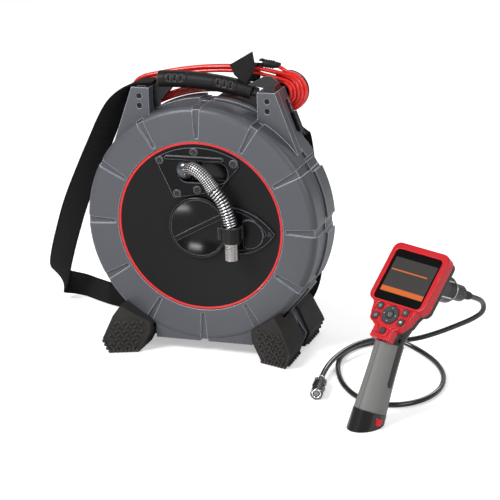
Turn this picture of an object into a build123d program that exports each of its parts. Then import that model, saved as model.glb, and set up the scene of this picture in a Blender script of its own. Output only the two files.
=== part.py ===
"""Pipe inspection set: a cable drum on a four-footed case, with its hand-held display unit.

Millimetres, +Z up, the drum's front towards -Y.  The origin is on the floor under the middle of
the drum.  The drum turns about a line along Y at height axis_z.  The hand-held unit stands by
itself in front of the case, on the slanted sole of its battery, and is modelled in a frame of its
own: x to its right, y to its back and z up its handle.
"""

import os
from math import atan2, cos, degrees, hypot, pi, radians, sin, tan

from build123d import *

os.makedirs("parts", exist_ok=True)

# ---------------------------------------------------------------- driving dimensions, case
case_r = 160.0            # outer radius of the round case
ground = 16.0             # case above the floor
axis_z = case_r + ground  # drum axis above the floor
case_depth = 85.0         # front face to rear face
case_wall = 5.0
case_round = 9.0          # rounding of the front and rear edges
opening_r = 115.0         # round opening in the front shell
groove_count = 12
groove_deep = 2.6
groove_wide_rim = 11.0
groove_wide_ring = 5.0
panel_proud = 3.0         # raised panels on the rear half of the rim
panel_front = 4.0         # from the joint between the shells to a panel
panel_slot = 3.0          # slot along a panel's front edge
fit = 0.3                 # clearance between parts that only sit together
snug = 0.1                # clearance of parts that locate each other
screw_fit = 0.05


def on_rim(angle, out):
    """A place at an angle from the upright line, this far outside the round case."""
    return (case_r + out) * sin(radians(angle)), (case_r + out) * cos(radians(angle))


# posts that carry the handle; heights are above the drum axis
post_top = case_r + 17.0
post_out = 99.0
post_in = 75.0
post_foot = on_rim(53.06, 1.4)
post_root_z = case_r - 36.0
post_front = 14.5         # front face, ahead of the joint between the shells
post_back = 29.0
post_wall = 3.5
post_slope = (post_foot[0] - post_out) / (post_top - post_foot[1])
post_slot_top = post_top - 14.0
post_slot_low = post_top - 56.0
post_slot_front = 12.0
post_slot_back = 25.0

# handle
handle_y = 7.0
grip_left_z = post_top + 7.6
grip_mid_z = post_top + 7.0
grip_right_z = post_top - 5.5
grip_half = 67.0
grip_r = 11.2
bar_r = 7.0
web_in = 46.0             # inner end of the web under each end of the grip
grip_slots = (-42.0, 27.0)
grip_slot_step = 8.5
tongue_len = 15.5
tongue_lo = post_top - 31.0
tongue_hi = post_top - 5.0
tongue_half = 6.0         # half its thickness along Y
post_screw_z = (post_top - 24.5, post_top - 11.5)
post_screw_r = 1.9
post_screw_head_r = 3.6
post_screw_head = 2.2

# feet and legs
foot_front = 77.0         # foremost edge of a foot from the middle of the case
foot_inner = 13.0         # back edge of a foot from the middle of the case
foot_splay = 20.0         # degrees that a foot's face turns in
foot_skin = 4.0
foot_top = on_rim(44.47, -5.8)
foot_top_in = on_rim(27.74, -7.5)
foot_low_in = on_rim(25.79, 5.5)
foot_ledge = on_rim(40.42, 43.6)
foot_shoulder = on_rim(43.58, 11.2)
foot_sole_in = (foot_low_in[0] + 15.0, axis_z)
foot_sole_out = (foot_ledge[0] - 8.0, axis_z)
leg_gap = 17.0            # half the width of the notch between front and rear leg
nub_count = 6
nub_r = 2.0
skirt_half = 68.0
skirt_top = case_r - 22.0
skirt_low = case_r
skirt_wall = 3.5

# drum that turns in the case
disc_r = 111.0
disc_thick = 4.0
disc_back = 1.5           # disc face behind the case's front face
ring_r = 114.5
ring_proud = 1.0
drum_r = case_r - case_wall - 6.0
drum_wall = 2.5
drum_half = 35.0
hub_r = 22.0
axle_r = 8.0
bearing_r = 16.0
bearing_wide = 9.0
coil_r_in = 96.0
coil_r_out = drum_r - drum_wall - 1.0
coil_half = 28.0
run_clear = 0.05          # running fit, radial

# lock knob
knob_r = 41.0
knob_proud = 7.0
knob_dish = 5.5
knob_rib = 6.0
knob_turn = 28.0          # degrees, slope of the rib at rest

# guide plate and cable port
plate_thick = 2.5
plate_screws = ((-52.0, 88.0), (-4.0, 101.0), (50.0, 88.0), (-29.0, 44.0), (-1.0, 50.5))
plate_screw_r = 3.2
port_left = -27.0
port_right = 42.0
port_low = 60.0
port_high = 88.0
port_deep = 17.0
port_wall = 2.0

# leader, camera head and clip; places as (x, y, height above the axis)
leader_y = -61.5
sleeve_path = ((-10.5, -45.0, 77.5), (0.5, -57.5, 82.5), (15.0, leader_y, 75.0),
               (28.5, leader_y, 57.0))
spring_path = ((28.5, leader_y, 57.0), (39.8, leader_y, 43.0), (46.6, leader_y, 26.0),
               (50.5, leader_y, 10.0))
sleeve_r = 8.2
spring_r = 9.8
spring_wire = 2.2
head_r = 10.0
head_x = 50.8
head_top = 10.0
head_low = -36.0
lens_r = 7.0
lens_thick = 1.5
clip_r = 13.2
clip_top = 9.0
clip_low = -12.0
clip_gap = 5.0               # the mouth at its left rear, behind the ear
clip_gap_y = 7.2
clip_base_thick = 4.0
clip_pad = 3.0
clip_tip = 104.0
clip_base_left = 46.0
clip_screw_x = 98.0

# rear cover, cord outlet, hooks and the stored cord
cover_r = 46.0
cover_thick = 7.0
outlet_r = 5.5
outlet_len = 26.0
cord_r = 2.6
hank_front = post_back + 0.6
hank_back = hank_front + 12.4
hank_thick = 11.0
hank_left = (-95.0, post_top - 16.0)      # middles of the stored cord's two bends
hank_right = (101.0, post_top - 8.0)
hank_r_left = 24.0
hank_r_right = 28.0
hank_top = post_top + 24.0                # top of the stored cord at mid span
hank_low = case_r + panel_proud + 2.0     # underside of it at mid span
hank_hole_right = (94.0, post_top - 10.0)
hank_hole_right_r = 7.5
peg_right = (hank_hole_right[0] + 0.5, hank_hole_right[1] + 1.2)
peg_right_r = hank_hole_right_r - 1.6
peg_left = (hank_left[0] - 1.3, hank_left[1] + 1.7)
peg_left_r = hank_r_left - hank_thick - 2.6
hook_flange_lip = -1.5                    # flange stops short of the stored cord's outside
hook_flange = 3.0
tie_left = 41.0
tie_right = 61.0
tie_wall = 2.0
flag_y = -5.0             # back of the tie's free end, in front of the grip
# outlines of the two loose ends of webbing: x, height above the posts' tops
flag_points = ((35.0, 33.5), (68.0, 52.5), (74.0, 40.0), (68.5, 31.0), (67.5, 13.0), (57.5, 7.0),
               (47.5, 14.0), (40.0, 24.0))
leaf_points = ((62.0, 9.0), (84.0, 21.0), (95.0, 22.0), (103.0, 15.0), (90.0, 5.0))

# shoulder strap
strap_wide = 34.0
strap_thick = 2.4
strap_end_turn = 42.5            # degrees round the case, where it meets the right post's back
strap_end = on_rim(strap_end_turn, 6.6)
strap_end_wide = (cos(radians(strap_end_turn)), 0, -sin(radians(strap_end_turn)))

# ---------------------------------------------------------------- driving dimensions, hand unit
hand_x = 275.0
hand_y = -230.5
hand_yaw = -23.0
hand_roll = 3.2
hand_lean = 24.1
sole_half_x = 20.0
sole_half_y = 23.0
battery_top = 18.0
grip_top = 103.0
grip_mid = 60.0
grip_low_size = (19.5, 22.5)
grip_mid_size = (17.3, 20.8)
grip_top_size = (16.8, 20.2)
frame_size = (13.8, 16.8)
inlay_half = 5.2
inlay_low = 56.0
screen_up = 184.0         # display centre along the handle
screen_tilt = 18.7        # display leans back from the handle by this
bezel_w = 83.0
bezel_h = 80.0
bezel_mid = 2.0
bezel_round = 10.0
bezel_proud = 2.0
shell_deep = 12.0
window_w = 70.0
window_h = 69.0
window_mid = -1.0
window_thick = 1.5
lcd_w = 62.5
lcd_h = 46.6
rear_deep = 22.0
shell_wall = 2.5
lobe_half = 30.0
lobe_low = -64.0
neck_half = 14.0
neck_low = -82.0
pad_u = -50.5
pad_r = 11.6
select_r = 4.8
key_x = 18.8
key_high_u = -43.0
key_low_u = -56.0
key_w = 8.4
key_h = 8.6
bottom_key_u = -72.0
key_travel = 1.2
nose_start = 50.0
nose_end = 95.0
nose_r = 17.0
nut_r = 10.5
nut_len = 23.0
boot_len = 23.0
imager_cord_r = 3.4
head2_r = 7.8
head2_len = 42.0

# ---------------------------------------------------------------- helpers
half = case_depth / 2
made = {}


def keep(name, shape):
    """Write one sub-part to its STEP file."""
    solids = shape.solids()
    part = solids[0] if len(solids) == 1 else Compound(children=list(solids))
    part.label = name
    export_step(part, f"parts/{name}.step")
    made[name] = part
    return part


def face_at(y):
    """Sketch plane across the drum axis: x right, y up from the axis, extruding to the front."""
    return Plane(origin=(0, y, axis_z), x_dir=(1, 0, 0), z_dir=(0, -1, 0))


def slab(sketch, y_front, y_back):
    """A sketch about the drum axis, made solid between two depths."""
    return extrude(face_at(y_back) * sketch, amount=y_back - y_front)


def round_slab(r, y_front, y_back, x=0.0, z=0.0):
    return slab(Pos(x, z) * Circle(r), y_front, y_back)


def tube_y(r_out, r_in, y_front, y_back):
    return slab(Circle(r_out) - Circle(r_in), y_front, y_back)


def block(x0, x1, y0, y1, z0, z1):
    """A box between corners; z is counted from the drum axis."""
    centre = ((x0 + x1) / 2, (y0 + y1) / 2, axis_z + (z0 + z1) / 2)
    return Pos(*centre) * Box(abs(x1 - x0), abs(y1 - y0), abs(z1 - z0))


def outline(*points):
    return make_face(Polyline(*points, close=True))


def mirrored(shape):
    return mirror(shape, about=Plane.YZ)


def arc_radii(points):
    """Radii of a cord's bends: 0.45 of the shorter run over the tangent of half the turn."""
    radii = []
    for a, b, c in zip(points, points[1:], points[2:]):
        v, w = Vector(*b) - Vector(*a), Vector(*c) - Vector(*b)
        half_turn = radians(v.get_angle(w)) / 2
        radii.append(0.45 * min(v.length, w.length) / tan(half_turn))
    return radii


def tube_along(points, radius, bore=0.0):
    """A round tube whose path is straight runs joined by tangent arcs."""
    radii = arc_radii(points)
    path = FilletPolyline(*points, radius=radii)
    start = Plane(origin=points[0], z_dir=Vector(*points[1]) - Vector(*points[0]))
    section = Circle(radius) - Circle(bore) if bore else Circle(radius)
    return sweep(start * section, path=path), radii, path.length


def place(point):
    """A point given with its height above the axis."""
    return (point[0], point[1], axis_z + point[2])


# ---------------------------------------------------------------- case
def groove_cutters(width_in, width_out, depth, y_front, y_back):
    """Radial grooves of the front face, carried on across the rim."""
    face = outline((opening_r + 4, -width_in / 2), (case_r + 6, -width_out / 2),
                   (case_r + 6, width_out / 2), (opening_r + 4, width_in / 2))
    across = Pos(case_r + 4, 0) * Rectangle(2 * (4 + depth), width_out)
    cutters = []
    for i in range(groove_count):
        turn = Rot(0, 0, 360 / groove_count * i)
        if y_front <= -half:
            cutters.append(slab(turn * face, -half - 1, -half + depth))
        else:
            cutters.append(slab(turn * face, half - depth, half + 1))
        cutters.append(slab(turn * across, y_front, y_back))
    return cutters


def post_outline(inset=0.0):
    """Front view of a right-hand post; its lower side is sunk in the round case."""
    return outline((post_in + inset, post_top - inset), (post_out - inset, post_top - inset),
                   (post_foot[0] - 1.3 * inset, post_foot[1]), (post_foot[0] - 12, post_foot[1] - 8),
                   (post_in + inset, post_root_z))


def on_post(y, z, out):
    """Places a shape on a right-hand post's outer side: its z runs up the slope, its x points out."""
    x = post_out + (post_top - z) * post_slope
    return Pos(x, y, axis_z + z) * Rot(0, -degrees(atan2(post_slope, 1)), 0) * Pos(out, 0, 0)


def post_slot_box(deep, clear=0.0, out=0.0):
    """The slot for the strap in a right-hand post's outer side."""
    tall = (post_slot_top - post_slot_low) * hypot(1, post_slope) - 2 * clear
    middle = (post_slot_top + post_slot_low) / 2
    wide = post_slot_back - post_slot_front - 2 * clear
    return on_post((post_slot_front + post_slot_back) / 2, middle, out) * Box(2 * deep, wide, tall)


def post_half(y_front, y_back, closed_front):
    """Half of a hollow post, with the opening for the handle's tongue in its inner wall."""
    body = slab(post_outline(), y_front, y_back)
    if closed_front:
        hollow = slab(post_outline(post_wall), y_front + post_wall, y_back + 1)
    else:
        hollow = slab(post_outline(post_wall), y_front - 1, y_back - post_wall)
    mouth = block(post_in - 1, post_in + post_wall + 1, handle_y - tongue_half - fit,
                  handle_y + tongue_half + fit, tongue_lo - fit, tongue_hi + fit)
    return body - hollow - mouth - post_slot_box(2.0 * post_wall)


def skirt_half_shell(y_front, y_back):
    outer = slab(Pos(0, -(skirt_top + skirt_low) / 2) *
                 Rectangle(2 * skirt_half, skirt_low - skirt_top), y_front, y_back)
    inner_front = y_front + skirt_wall if y_front < 0 else y_front - 1
    inner_back = y_back - skirt_wall if y_back > 0 else y_back + 1
    inner = slab(Pos(0, -(skirt_top + skirt_low - skirt_wall) / 2) *
                 Rectangle(2 * (skirt_half - skirt_wall), skirt_low - skirt_top - skirt_wall + 2),
                 inner_front, inner_back)
    return outer - inner


def shell(y_front, y_back, front):
    """One half of the case: round tray, posts and skirt."""
    tray = round_slab(case_r, y_front, y_back)
    edge_y = y_front if front else y_back
    edges = [e for e in tray.edges().filter_by(GeomType.CIRCLE) if abs(e.center().Y - edge_y) < 0.1]
    tray = fillet(edges, case_round)
    posts = post_half(-post_front, 0, True) if front else post_half(0, post_back, False)
    skirt = skirt_half_shell(-half + 1.5, 0) if front else skirt_half_shell(0, half - 1.5)
    body = tray + posts + mirrored(posts) + skirt
    if not front:
        body += rim_panels()
    inner_r = case_r - case_wall
    if front:
        body -= round_slab(inner_r, y_front + case_wall, y_back + 1)
        body -= round_slab(opening_r, y_front - 1, y_back + 1)
    else:
        body -= round_slab(inner_r, y_front - 1, y_back - case_wall)
    cut_front = -half - 1 if front else panel_front - panel_slot - 0.01
    cut_back = 0.01 if front else half + 1
    for cutter in groove_cutters(groove_wide_ring, groove_wide_rim, groove_deep, cut_front, cut_back):
        body -= cutter - post_block()
    return body


def post_block():
    """The space of both posts, which the grooves leave alone."""
    solid = slab(post_outline(), -post_front, post_back)
    return solid + mirrored(solid)


def panel_sectors(r_in, r_out, gap):
    """Arc-shaped sectors between the grooves."""
    ring = Circle(r_out) - Circle(r_in)
    for i in range(groove_count // 2):
        ring -= Rot(0, 0, 360 / groove_count * i) * Rectangle(2 * r_out + 4, gap)
    return ring


def rim_panels():
    sectors = panel_sectors(case_r - 2, case_r + panel_proud, groove_wide_rim + 9)
    return slab(sectors, panel_front, half - case_round + 2)


def housing():
    front = shell(-half, 0, True)
    rear = shell(0, half, False)
    sectors = panel_sectors(case_r - groove_deep, case_r + 1, groove_wide_rim + 9)
    rear -= slab(sectors, panel_front - panel_slot, panel_front) - post_block()
    rear -= round_slab(axle_r + snug, half - case_wall - 1, half + 1)
    for z in post_screw_z:
        for side in (-1, 1):
            x = side * post_screw_x()
            front -= round_slab(post_screw_r + 0.2, -post_front - 1, -post_front + post_wall + 1, x, z)
            front -= round_slab(post_screw_head_r + fit, -post_front - 1,
                                -post_front + post_screw_head + 0.2, x, z)
    screws = []
    for i in range(8):
        angle = radians(22.5 + 45 * i)
        x, z = (cover_r + 62) * cos(angle), (cover_r + 62) * sin(angle)
        rear -= round_slab(2.2, half - case_wall - 1, half + 1, x, z)
        screws.append(round_slab(4.0, half, half + 2.4, x, z) +
                      round_slab(2.1, half - case_wall - 0.4, half, x, z))
    keep("housing_front", front)
    keep("housing_rear", rear)
    keep("housing_screws", Compound(children=screws))


def post_screw_x():
    return post_in + post_wall + 10.0


# ---------------------------------------------------------------- legs and feet
def foot_outline(inset=0.0):
    """Front view of the right-hand foot; heights are counted down from the axis."""
    points = [foot_top, foot_shoulder, foot_ledge, foot_sole_out, foot_sole_in, foot_low_in, foot_top_in]
    face = outline(*[(x, -z) for x, z in points])
    return offset(face, amount=-inset, kind=Kind.INTERSECTION) if inset else face


def splay_cutter(gap):
    """Everything ahead of a front foot's face, which turns in towards the middle."""
    turn = radians(foot_splay)
    plane = Plane(origin=(foot_ledge[0], -foot_front + gap, 0), x_dir=(cos(turn), -sin(turn), 0),
                  z_dir=(-sin(turn), -cos(turn), 0))
    return extrude(plane * Rectangle(600, 900), amount=200)


def nubs():
    """Small grip studs round the sole's front edge."""
    studs = []
    run = foot_sole_out[0] - foot_sole_in[0]
    for i in range(nub_count):
        x = foot_sole_in[0] + run * (i + 0.5) / nub_count
        y = -foot_front + (foot_ledge[0] - x) * tan(radians(foot_splay))
        studs.append(Pos(x, y - 0.3, nub_r) * Sphere(nub_r))
    return studs


def legs_and_feet():
    keep_out = round_slab(case_r + panel_proud + fit, -half - fit, half + fit)
    keep_out += round_slab(case_r + fit, -half - 0.5, half + 0.5)
    core = slab(foot_outline(foot_skin), -foot_front + foot_skin + 2, foot_front - foot_skin - 2)
    core -= splay_cutter(foot_skin + 1)
    core -= mirror(splay_cutter(foot_skin + 1), about=Plane.XZ)
    notch_top = 32.0 - case_r
    notch = make_face(Polyline((0, axis_z + notch_top), (leg_gap, 0), (-leg_gap, 0), close=True))
    core -= extrude(Plane(origin=(0, 0, 0), x_dir=(0, 1, 0), z_dir=(1, 0, 0)) * notch, amount=300)
    core -= keep_out
    core -= block(-skirt_half - fit, skirt_half + fit, -half, half, -skirt_low - 1, -skirt_top + 1)
    leg = sorted(core.solids(), key=lambda s: s.volume)[-1]
    keep("leg_frames", Compound(children=[leg, mirrored(leg)]))

    foot = slab(foot_outline(), -foot_front - 1, -foot_inner) - splay_cutter(0)
    socket = slab(foot_outline(foot_skin - fit), -foot_front, 0) - splay_cutter(foot_skin + 1 - fit)
    foot -= socket
    foot -= keep_out
    foot -= block(-skirt_half - 1, skirt_half + 1, -half, half, -skirt_low - 2, -skirt_top + 2)
    for stud in nubs():
        foot += stud
    foot = sorted(foot.solids(), key=lambda s: s.volume)[-1]
    keep("foot_front_right", foot)
    keep("foot_front_left", mirrored(foot))
    rear = mirror(foot, about=Plane.XZ)
    keep("foot_rear_right", rear)
    keep("foot_rear_left", mirrored(rear))


# ---------------------------------------------------------------- handle
def handle():
    def end_piece(end_z, low_z):
        """Right-hand end of the handle: a web under the bar and a tongue into the post."""
        outer = post_in - fit
        web = Wire([Line((outer, tongue_hi, 0), (outer, tongue_lo + 3, 0)),
                    ThreePointArc((outer, tongue_lo + 3, 0), (web_in + 15, (tongue_lo + low_z) / 2 - 1, 0),
                                  (web_in, low_z, 0)),
                    Line((web_in, low_z, 0), (web_in, low_z + 5, 0)),
                    Line((web_in, low_z + 5, 0), (grip_half + 1, end_z + 1, 0)),
                    Line((grip_half + 1, end_z + 1, 0), (outer, tongue_hi, 0))])
        cheek = slab(make_face(web), handle_y - tongue_half, handle_y + tongue_half)
        tongue = block(post_in - 1, post_in + post_wall + tongue_len, handle_y - tongue_half,
                       handle_y + tongue_half, tongue_lo, tongue_hi)
        piece = cheek + tongue
        for z in post_screw_z:
            piece -= round_slab(post_screw_r + screw_fit, handle_y - tongue_half - 1,
                                handle_y + tongue_half - 3, post_screw_x(), z)
        return piece

    def grip_centre(x):
        """Height of the grip's middle: a parabola through its two ends and its middle."""
        rise = (grip_right_z - grip_left_z) / (2 * grip_half)
        bend = (grip_right_z + grip_left_z - 2 * grip_mid_z) / (2 * grip_half ** 2)
        return grip_mid_z + rise * x + bend * x ** 2

    left_low, right_low = (grip_centre(x) - grip_r + 4 for x in (-web_in, web_in))
    ends = end_piece(grip_right_z, right_low) + mirrored(end_piece(grip_left_z, left_low))
    path = ThreePointArc((-grip_half - 2, handle_y, axis_z + grip_left_z),
                         (0, handle_y, axis_z + grip_mid_z),
                         (grip_half + 2, handle_y, axis_z + grip_right_z))
    bar = sweep(Plane(origin=path @ 0, z_dir=path % 0) * Circle(bar_r), path=path)
    keep("handle_core", bar + ends)

    grip_path = ThreePointArc(path @ 0.02, path @ 0.5, path @ 0.95)
    start = Plane(origin=grip_path @ 0, z_dir=grip_path % 0)
    grip = sweep(start * (Circle(grip_r) - Circle(bar_r + 0.02)), path=grip_path)
    grip -= ends
    grip = sorted(grip.solids(), key=lambda s: s.volume)[-1]
    for centre in grip_slots:
        for step in (-grip_slot_step, 0.0, grip_slot_step):
            z = grip_centre(centre + step) + 3.5
            front = handle_y - grip_r
            grip -= block(centre + step - 2.2, centre + step + 2.2, front - 3, front + 3.2, z - 4.5, z + 5)
    keep("handle_grip", grip)

    screws = []
    for side in (-1, 1):
        for z in post_screw_z:
            x = side * post_screw_x()
            y = -post_front + 0.2
            head = round_slab(post_screw_head_r, y, y + post_screw_head, x, z)
            head -= round_slab(1.5, y - 1, y + 1.2, x, z)
            end = handle_y + tongue_half - 4.0
            screws.append(head + round_slab(post_screw_r, y + post_screw_head, end, x, z))
    keep("post_screws", Compound(children=screws))


# ---------------------------------------------------------------- rear cover, hooks, cord
def rear_fittings():
    cover = round_slab(cover_r, half + 0.1, half + cover_thick)
    cover = fillet([e for e in cover.edges() if abs(e.center().Y - half - cover_thick) < 0.1], 3)
    boss_y = half + outlet_r + 1.0
    boss = Pos(0, boss_y, axis_z + cover_r - 6) * Cylinder(
        outlet_r, outlet_len, align=(Align.CENTER, Align.CENTER, Align.MIN))
    cover += boss - round_slab(cover_r + 60, 0, half + 0.1)
    cover -= Pos(0, boss_y, axis_z + cover_r + 2) * Cylinder(
        cord_r + 0.1, outlet_len, align=(Align.CENTER, Align.CENTER, Align.MIN))
    keep("rear_cover", cover)

    hooks = []
    flange_front = hank_back + 0.6
    for peg, peg_r, bend, bend_r in ((peg_left, peg_left_r, hank_left, hank_r_left),
                                     (peg_right, peg_right_r, hank_right, hank_r_right)):
        post = round_slab(peg_r, post_back + 0.1, flange_front, *peg)
        flange = round_slab(bend_r + hook_flange_lip, flange_front, flange_front + hook_flange, *bend)
        hooks.append(post + flange)
    keep("cord_hooks", Compound(children=hooks))


def loose_end(points):
    """Outline of a loose end of webbing, from heights above the posts' tops."""
    return outline(*[(x, post_top + z) for x, z in points])


def hank_bends(left, left_r, right, right_r, top, low):
    """Outline of the stored cord round the two hooks, arched between them."""
    (x0, z0), (x1, z1) = left, right
    lines = (ThreePointArc((x0, z0 + left_r, 0), (0, top, 0), (x1, z1 + right_r, 0)),
             ThreePointArc((x1, z1 + right_r, 0), (x1 + right_r, z1, 0), (x1, z1 - right_r, 0)),
             ThreePointArc((x1, z1 - right_r, 0), (0, low, 0), (x0, z0 - left_r, 0)),
             ThreePointArc((x0, z0 - left_r, 0), (x0 - left_r, z0, 0), (x0, z0 + left_r, 0)))
    return make_face(Wire(lines))


def hank_outline(grow=0.0):
    return hank_bends(hank_left, hank_r_left + grow, hank_right, hank_r_right + grow,
                      hank_top + grow, hank_low - grow)


def hank_hole():
    return hank_bends(hank_left, hank_r_left - hank_thick, hank_hole_right, hank_hole_right_r,
                      hank_top - hank_thick, hank_low + hank_thick)


lead_points = ((0.0, half + outlet_r + 1.0, axis_z + cover_r + 10.0),
               (0.0, half + outlet_r + 1.0, axis_z + 76.0),
               (-6.0, half + outlet_r + 0.5, axis_z + 108.0),
               (-4.0, half + outlet_r + 1.0, axis_z + 140.0),
               (10.0, half + outlet_r - 1.0, axis_z + 166.0),
               (36.0, hank_back - 4.0, axis_z + 168.0))


def stored_cord():
    hank = slab(hank_outline() - hank_hole(), hank_front, hank_back)
    lead, radii, length = tube_along(lead_points, cord_r)
    print("interconnect lead: radii", [round(r) for r in radii], "length", round(length),
          "volume ratio", round(lead.volume / (pi * cord_r ** 2 * length), 4))
    lead -= hank
    keep("interconnect_cord", hank)
    keep("cord_lead", sorted(lead.solids(), key=lambda s: s.volume)[-1])

    plug_y = (hank_front + hank_back) / 2
    plug_x = tie_right + 14.0
    plug = Pos(plug_x, plug_y, axis_z + hank_top + 4.0) * Rot(0, 94, 0) * Cylinder(5.0, 22)
    relief = Pos(plug_x + 15, plug_y, axis_z + hank_top + 2.4) * Rot(0, 97, 0) * Cone(3.8, 2.8, 9)
    keep("cord_connector", plug + relief - slab(hank_outline(fit), hank_front - fit, hank_back + fit))

    inner_low, inner_high = hank_top - hank_thick - 7.5, hank_top + 1.6
    inner = block(tie_left, tie_right, hank_front - 0.6, hank_back + 0.4, inner_low, inner_high)
    outer = block(tie_left, tie_right, hank_front - 0.6 - tie_wall, hank_back + 0.4 + tie_wall,
                  inner_low - tie_wall, inner_high + tie_wall)
    bridge = block(tie_left + 4, tie_right, flag_y, hank_front - 0.6, inner_high, inner_high + tie_wall)
    flag = slab(loose_end(flag_points), flag_y - tie_wall, flag_y)
    keep("cord_tie", outer - inner + bridge + flag)


# ---------------------------------------------------------------- shoulder strap
def beside_case(angle, out, y):
    """A place beside the round case, at an angle from the upright and a distance outside its rim."""
    x, z = on_rim(angle, out)
    return x, y, axis_z + z


strap_stations = (
    # x, y, height above the floor, and the direction across the strap
    ((-71.5, 7.0, axis_z + post_top + 6.0), (0, 1, 0)),
    ((-83.0, 7.0, axis_z + post_top + 4.6), (0, 1, 0)),
    ((-96.0, 6.5, axis_z + post_top + 3.2), (0.05, 1, 0)),
    (beside_case(-31.5, 45.8, 5.5), (0.12, 0.99, 0.02)),
    (beside_case(-36.0, 42.2, 6.0), (0.38, 0.92, -0.1)),
    (beside_case(-41.6, 37.3, 8.5), (0.58, 0.78, -0.20)),
    (beside_case(-49.1, 31.1, 13.0), (0.68, 0.65, -0.28)),
    (beside_case(-59.4, 26.5, 18.5), (0.74, 0.57, -0.34)),
    (beside_case(-72.9, 30.4, 27.0), (0.78, 0.48, -0.40)),
    (beside_case(-90.0, 51.0, 38.0), (0.84, 0.33, -0.40)),
    (beside_case(-101.2, 77.5, 54.0), (0.88, 0.20, -0.42)),
    (beside_case(-109.1, 108.8, 76.0), (0.84, 0.20, -0.50)),
    ((-case_r - 110.0, 98.0, 56.0), (0.72, 0.20, -0.66)),
    ((-case_r - 118.0, 116.0, 35.0), (0.50, 0.15, -0.86)),
    ((-case_r - 116.0, 130.0, 24.0), (0.25, 0.05, -0.97)),
    ((-case_r - 104.0, 136.0, 20.5), (0.05, 0, -1)),
    ((-case_r - 84.0, 131.0, 20.0), (0, 0, -1)),
    ((-case_r - 58.0, 116.0, 20.0), (0, 0, -1)),
    ((-185.0, 100.0, 20.0), (0, 0, -1)),
    ((-145.0, 90.0, 20.0), (0, 0, -1)),
    ((-95.0, 86.0, 20.0), (0, 0, -1)),
    ((-40.0, 86.0, 20.0), (0, 0, -1)),
    ((15.0, 91.0, 20.5), (0.05, 0, -1)),
    ((60.0, 93.0, 25.0), (0.25, 0, -0.97)),
    ((92.0, 92.0, 43.0), (0.70, 0, -0.72)),
    ((108.0, 90.0, 75.0), (0.95, 0, -0.30)),
    ((112.0, 85.0, 120.0), (1, 0, -0.05)),
    ((112.0, 78.0, 170.0), (1, 0, 0)),
    ((111.0, 70.0, 220.0), (0.99, 0, -0.1)),
    ((strap_end[0] - 3.5, 61.0, axis_z + strap_end[1] - 36.8), (0.92, 0, -0.4)),
    ((strap_end[0] - 2.5, 53.5, axis_z + strap_end[1] - 9.8), (0.79, 0, -0.61)),
    ((strap_end[0], 46.0, axis_z + strap_end[1]), strap_end_wide),
    ((strap_end[0], post_back + 2.5, axis_z + strap_end[1]), strap_end_wide),
)


def strap_section(i):
    """The four corners of the strap at one station."""
    places = [Vector(*p) for p, _ in strap_stations]
    along = (places[min(i + 1, len(places) - 1)] - places[max(i - 1, 0)]).normalized()
    wide = Vector(*strap_stations[i][1])
    wide = (wide - along * wide.dot(along)).normalized()
    thick = along.cross(wide)
    return [places[i] + wide * (a * strap_wide / 2) + thick * (b * strap_thick / 2)
            for a, b in ((-1, -1), (1, -1), (1, 1), (-1, 1))]


def shoulder_strap():
    sections = [strap_section(i) for i in range(len(strap_stations))]
    faces = [Face(Wire.make_polygon(sections[0])), Face(Wire.make_polygon(sections[-1]))]
    for one, two in zip(sections, sections[1:]):
        for a in range(4):
            b = (a + 1) % 4
            faces.append(Face(Wire.make_polygon([one[a], one[b], two[b]])))
            faces.append(Face(Wire.make_polygon([one[a], two[b], two[a]])))
    strap = Solid(Shell(faces))
    print("strap volume", round(strap.volume), "valid", strap.is_valid)
    keep("shoulder_strap", strap)

    top = axis_z + post_top
    keeper = Box(12, 40, 2.2) - Box(8, 37, 4) + Box(3, 40, 2.2)
    plates = [Pos(-(post_in + 10), handle_y, top + 1.2) * keeper]
    leaf = slab(loose_end(leaf_points), -13.2, -11.2)
    plates.append(leaf + block(84, 98, -11.4, 14, post_top + 0.1, post_top + 9))
    bar = Rot(0, strap_end_turn, 0) * Pos(0, post_back + 1.05, case_r + 6.6) * Box(30, 1.8, 5.6)
    plates.append(Pos(0, 0, axis_z) * bar)
    plates.append(post_slot_box(1.0, fit, -2.0))
    loop = on_post(post_back - 5.9, post_top - 45.0, 2.0) * Box(3.4, 11.4, 27.0)
    plates.append(loop - post_solid_right())
    keep("strap_anchors", Compound(children=[s for p in plates for s in p.solids()]))


def post_solid_right():
    """A right-hand post with the clearance that the strap's fittings keep from it."""
    return slab(offset(post_outline(), amount=fit, kind=Kind.INTERSECTION), -post_front, post_back + fit)


# ---------------------------------------------------------------- drum
def disc_face():
    return -half + disc_back


def port_slot(grow=0.0):
    width, height = port_right - port_left, port_high - port_low
    return Pos((port_right + port_left) / 2, (port_high + port_low) / 2) * RectangleRounded(
        width + 2 * grow, height + 2 * grow, height / 2 - 1 + grow)


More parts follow.
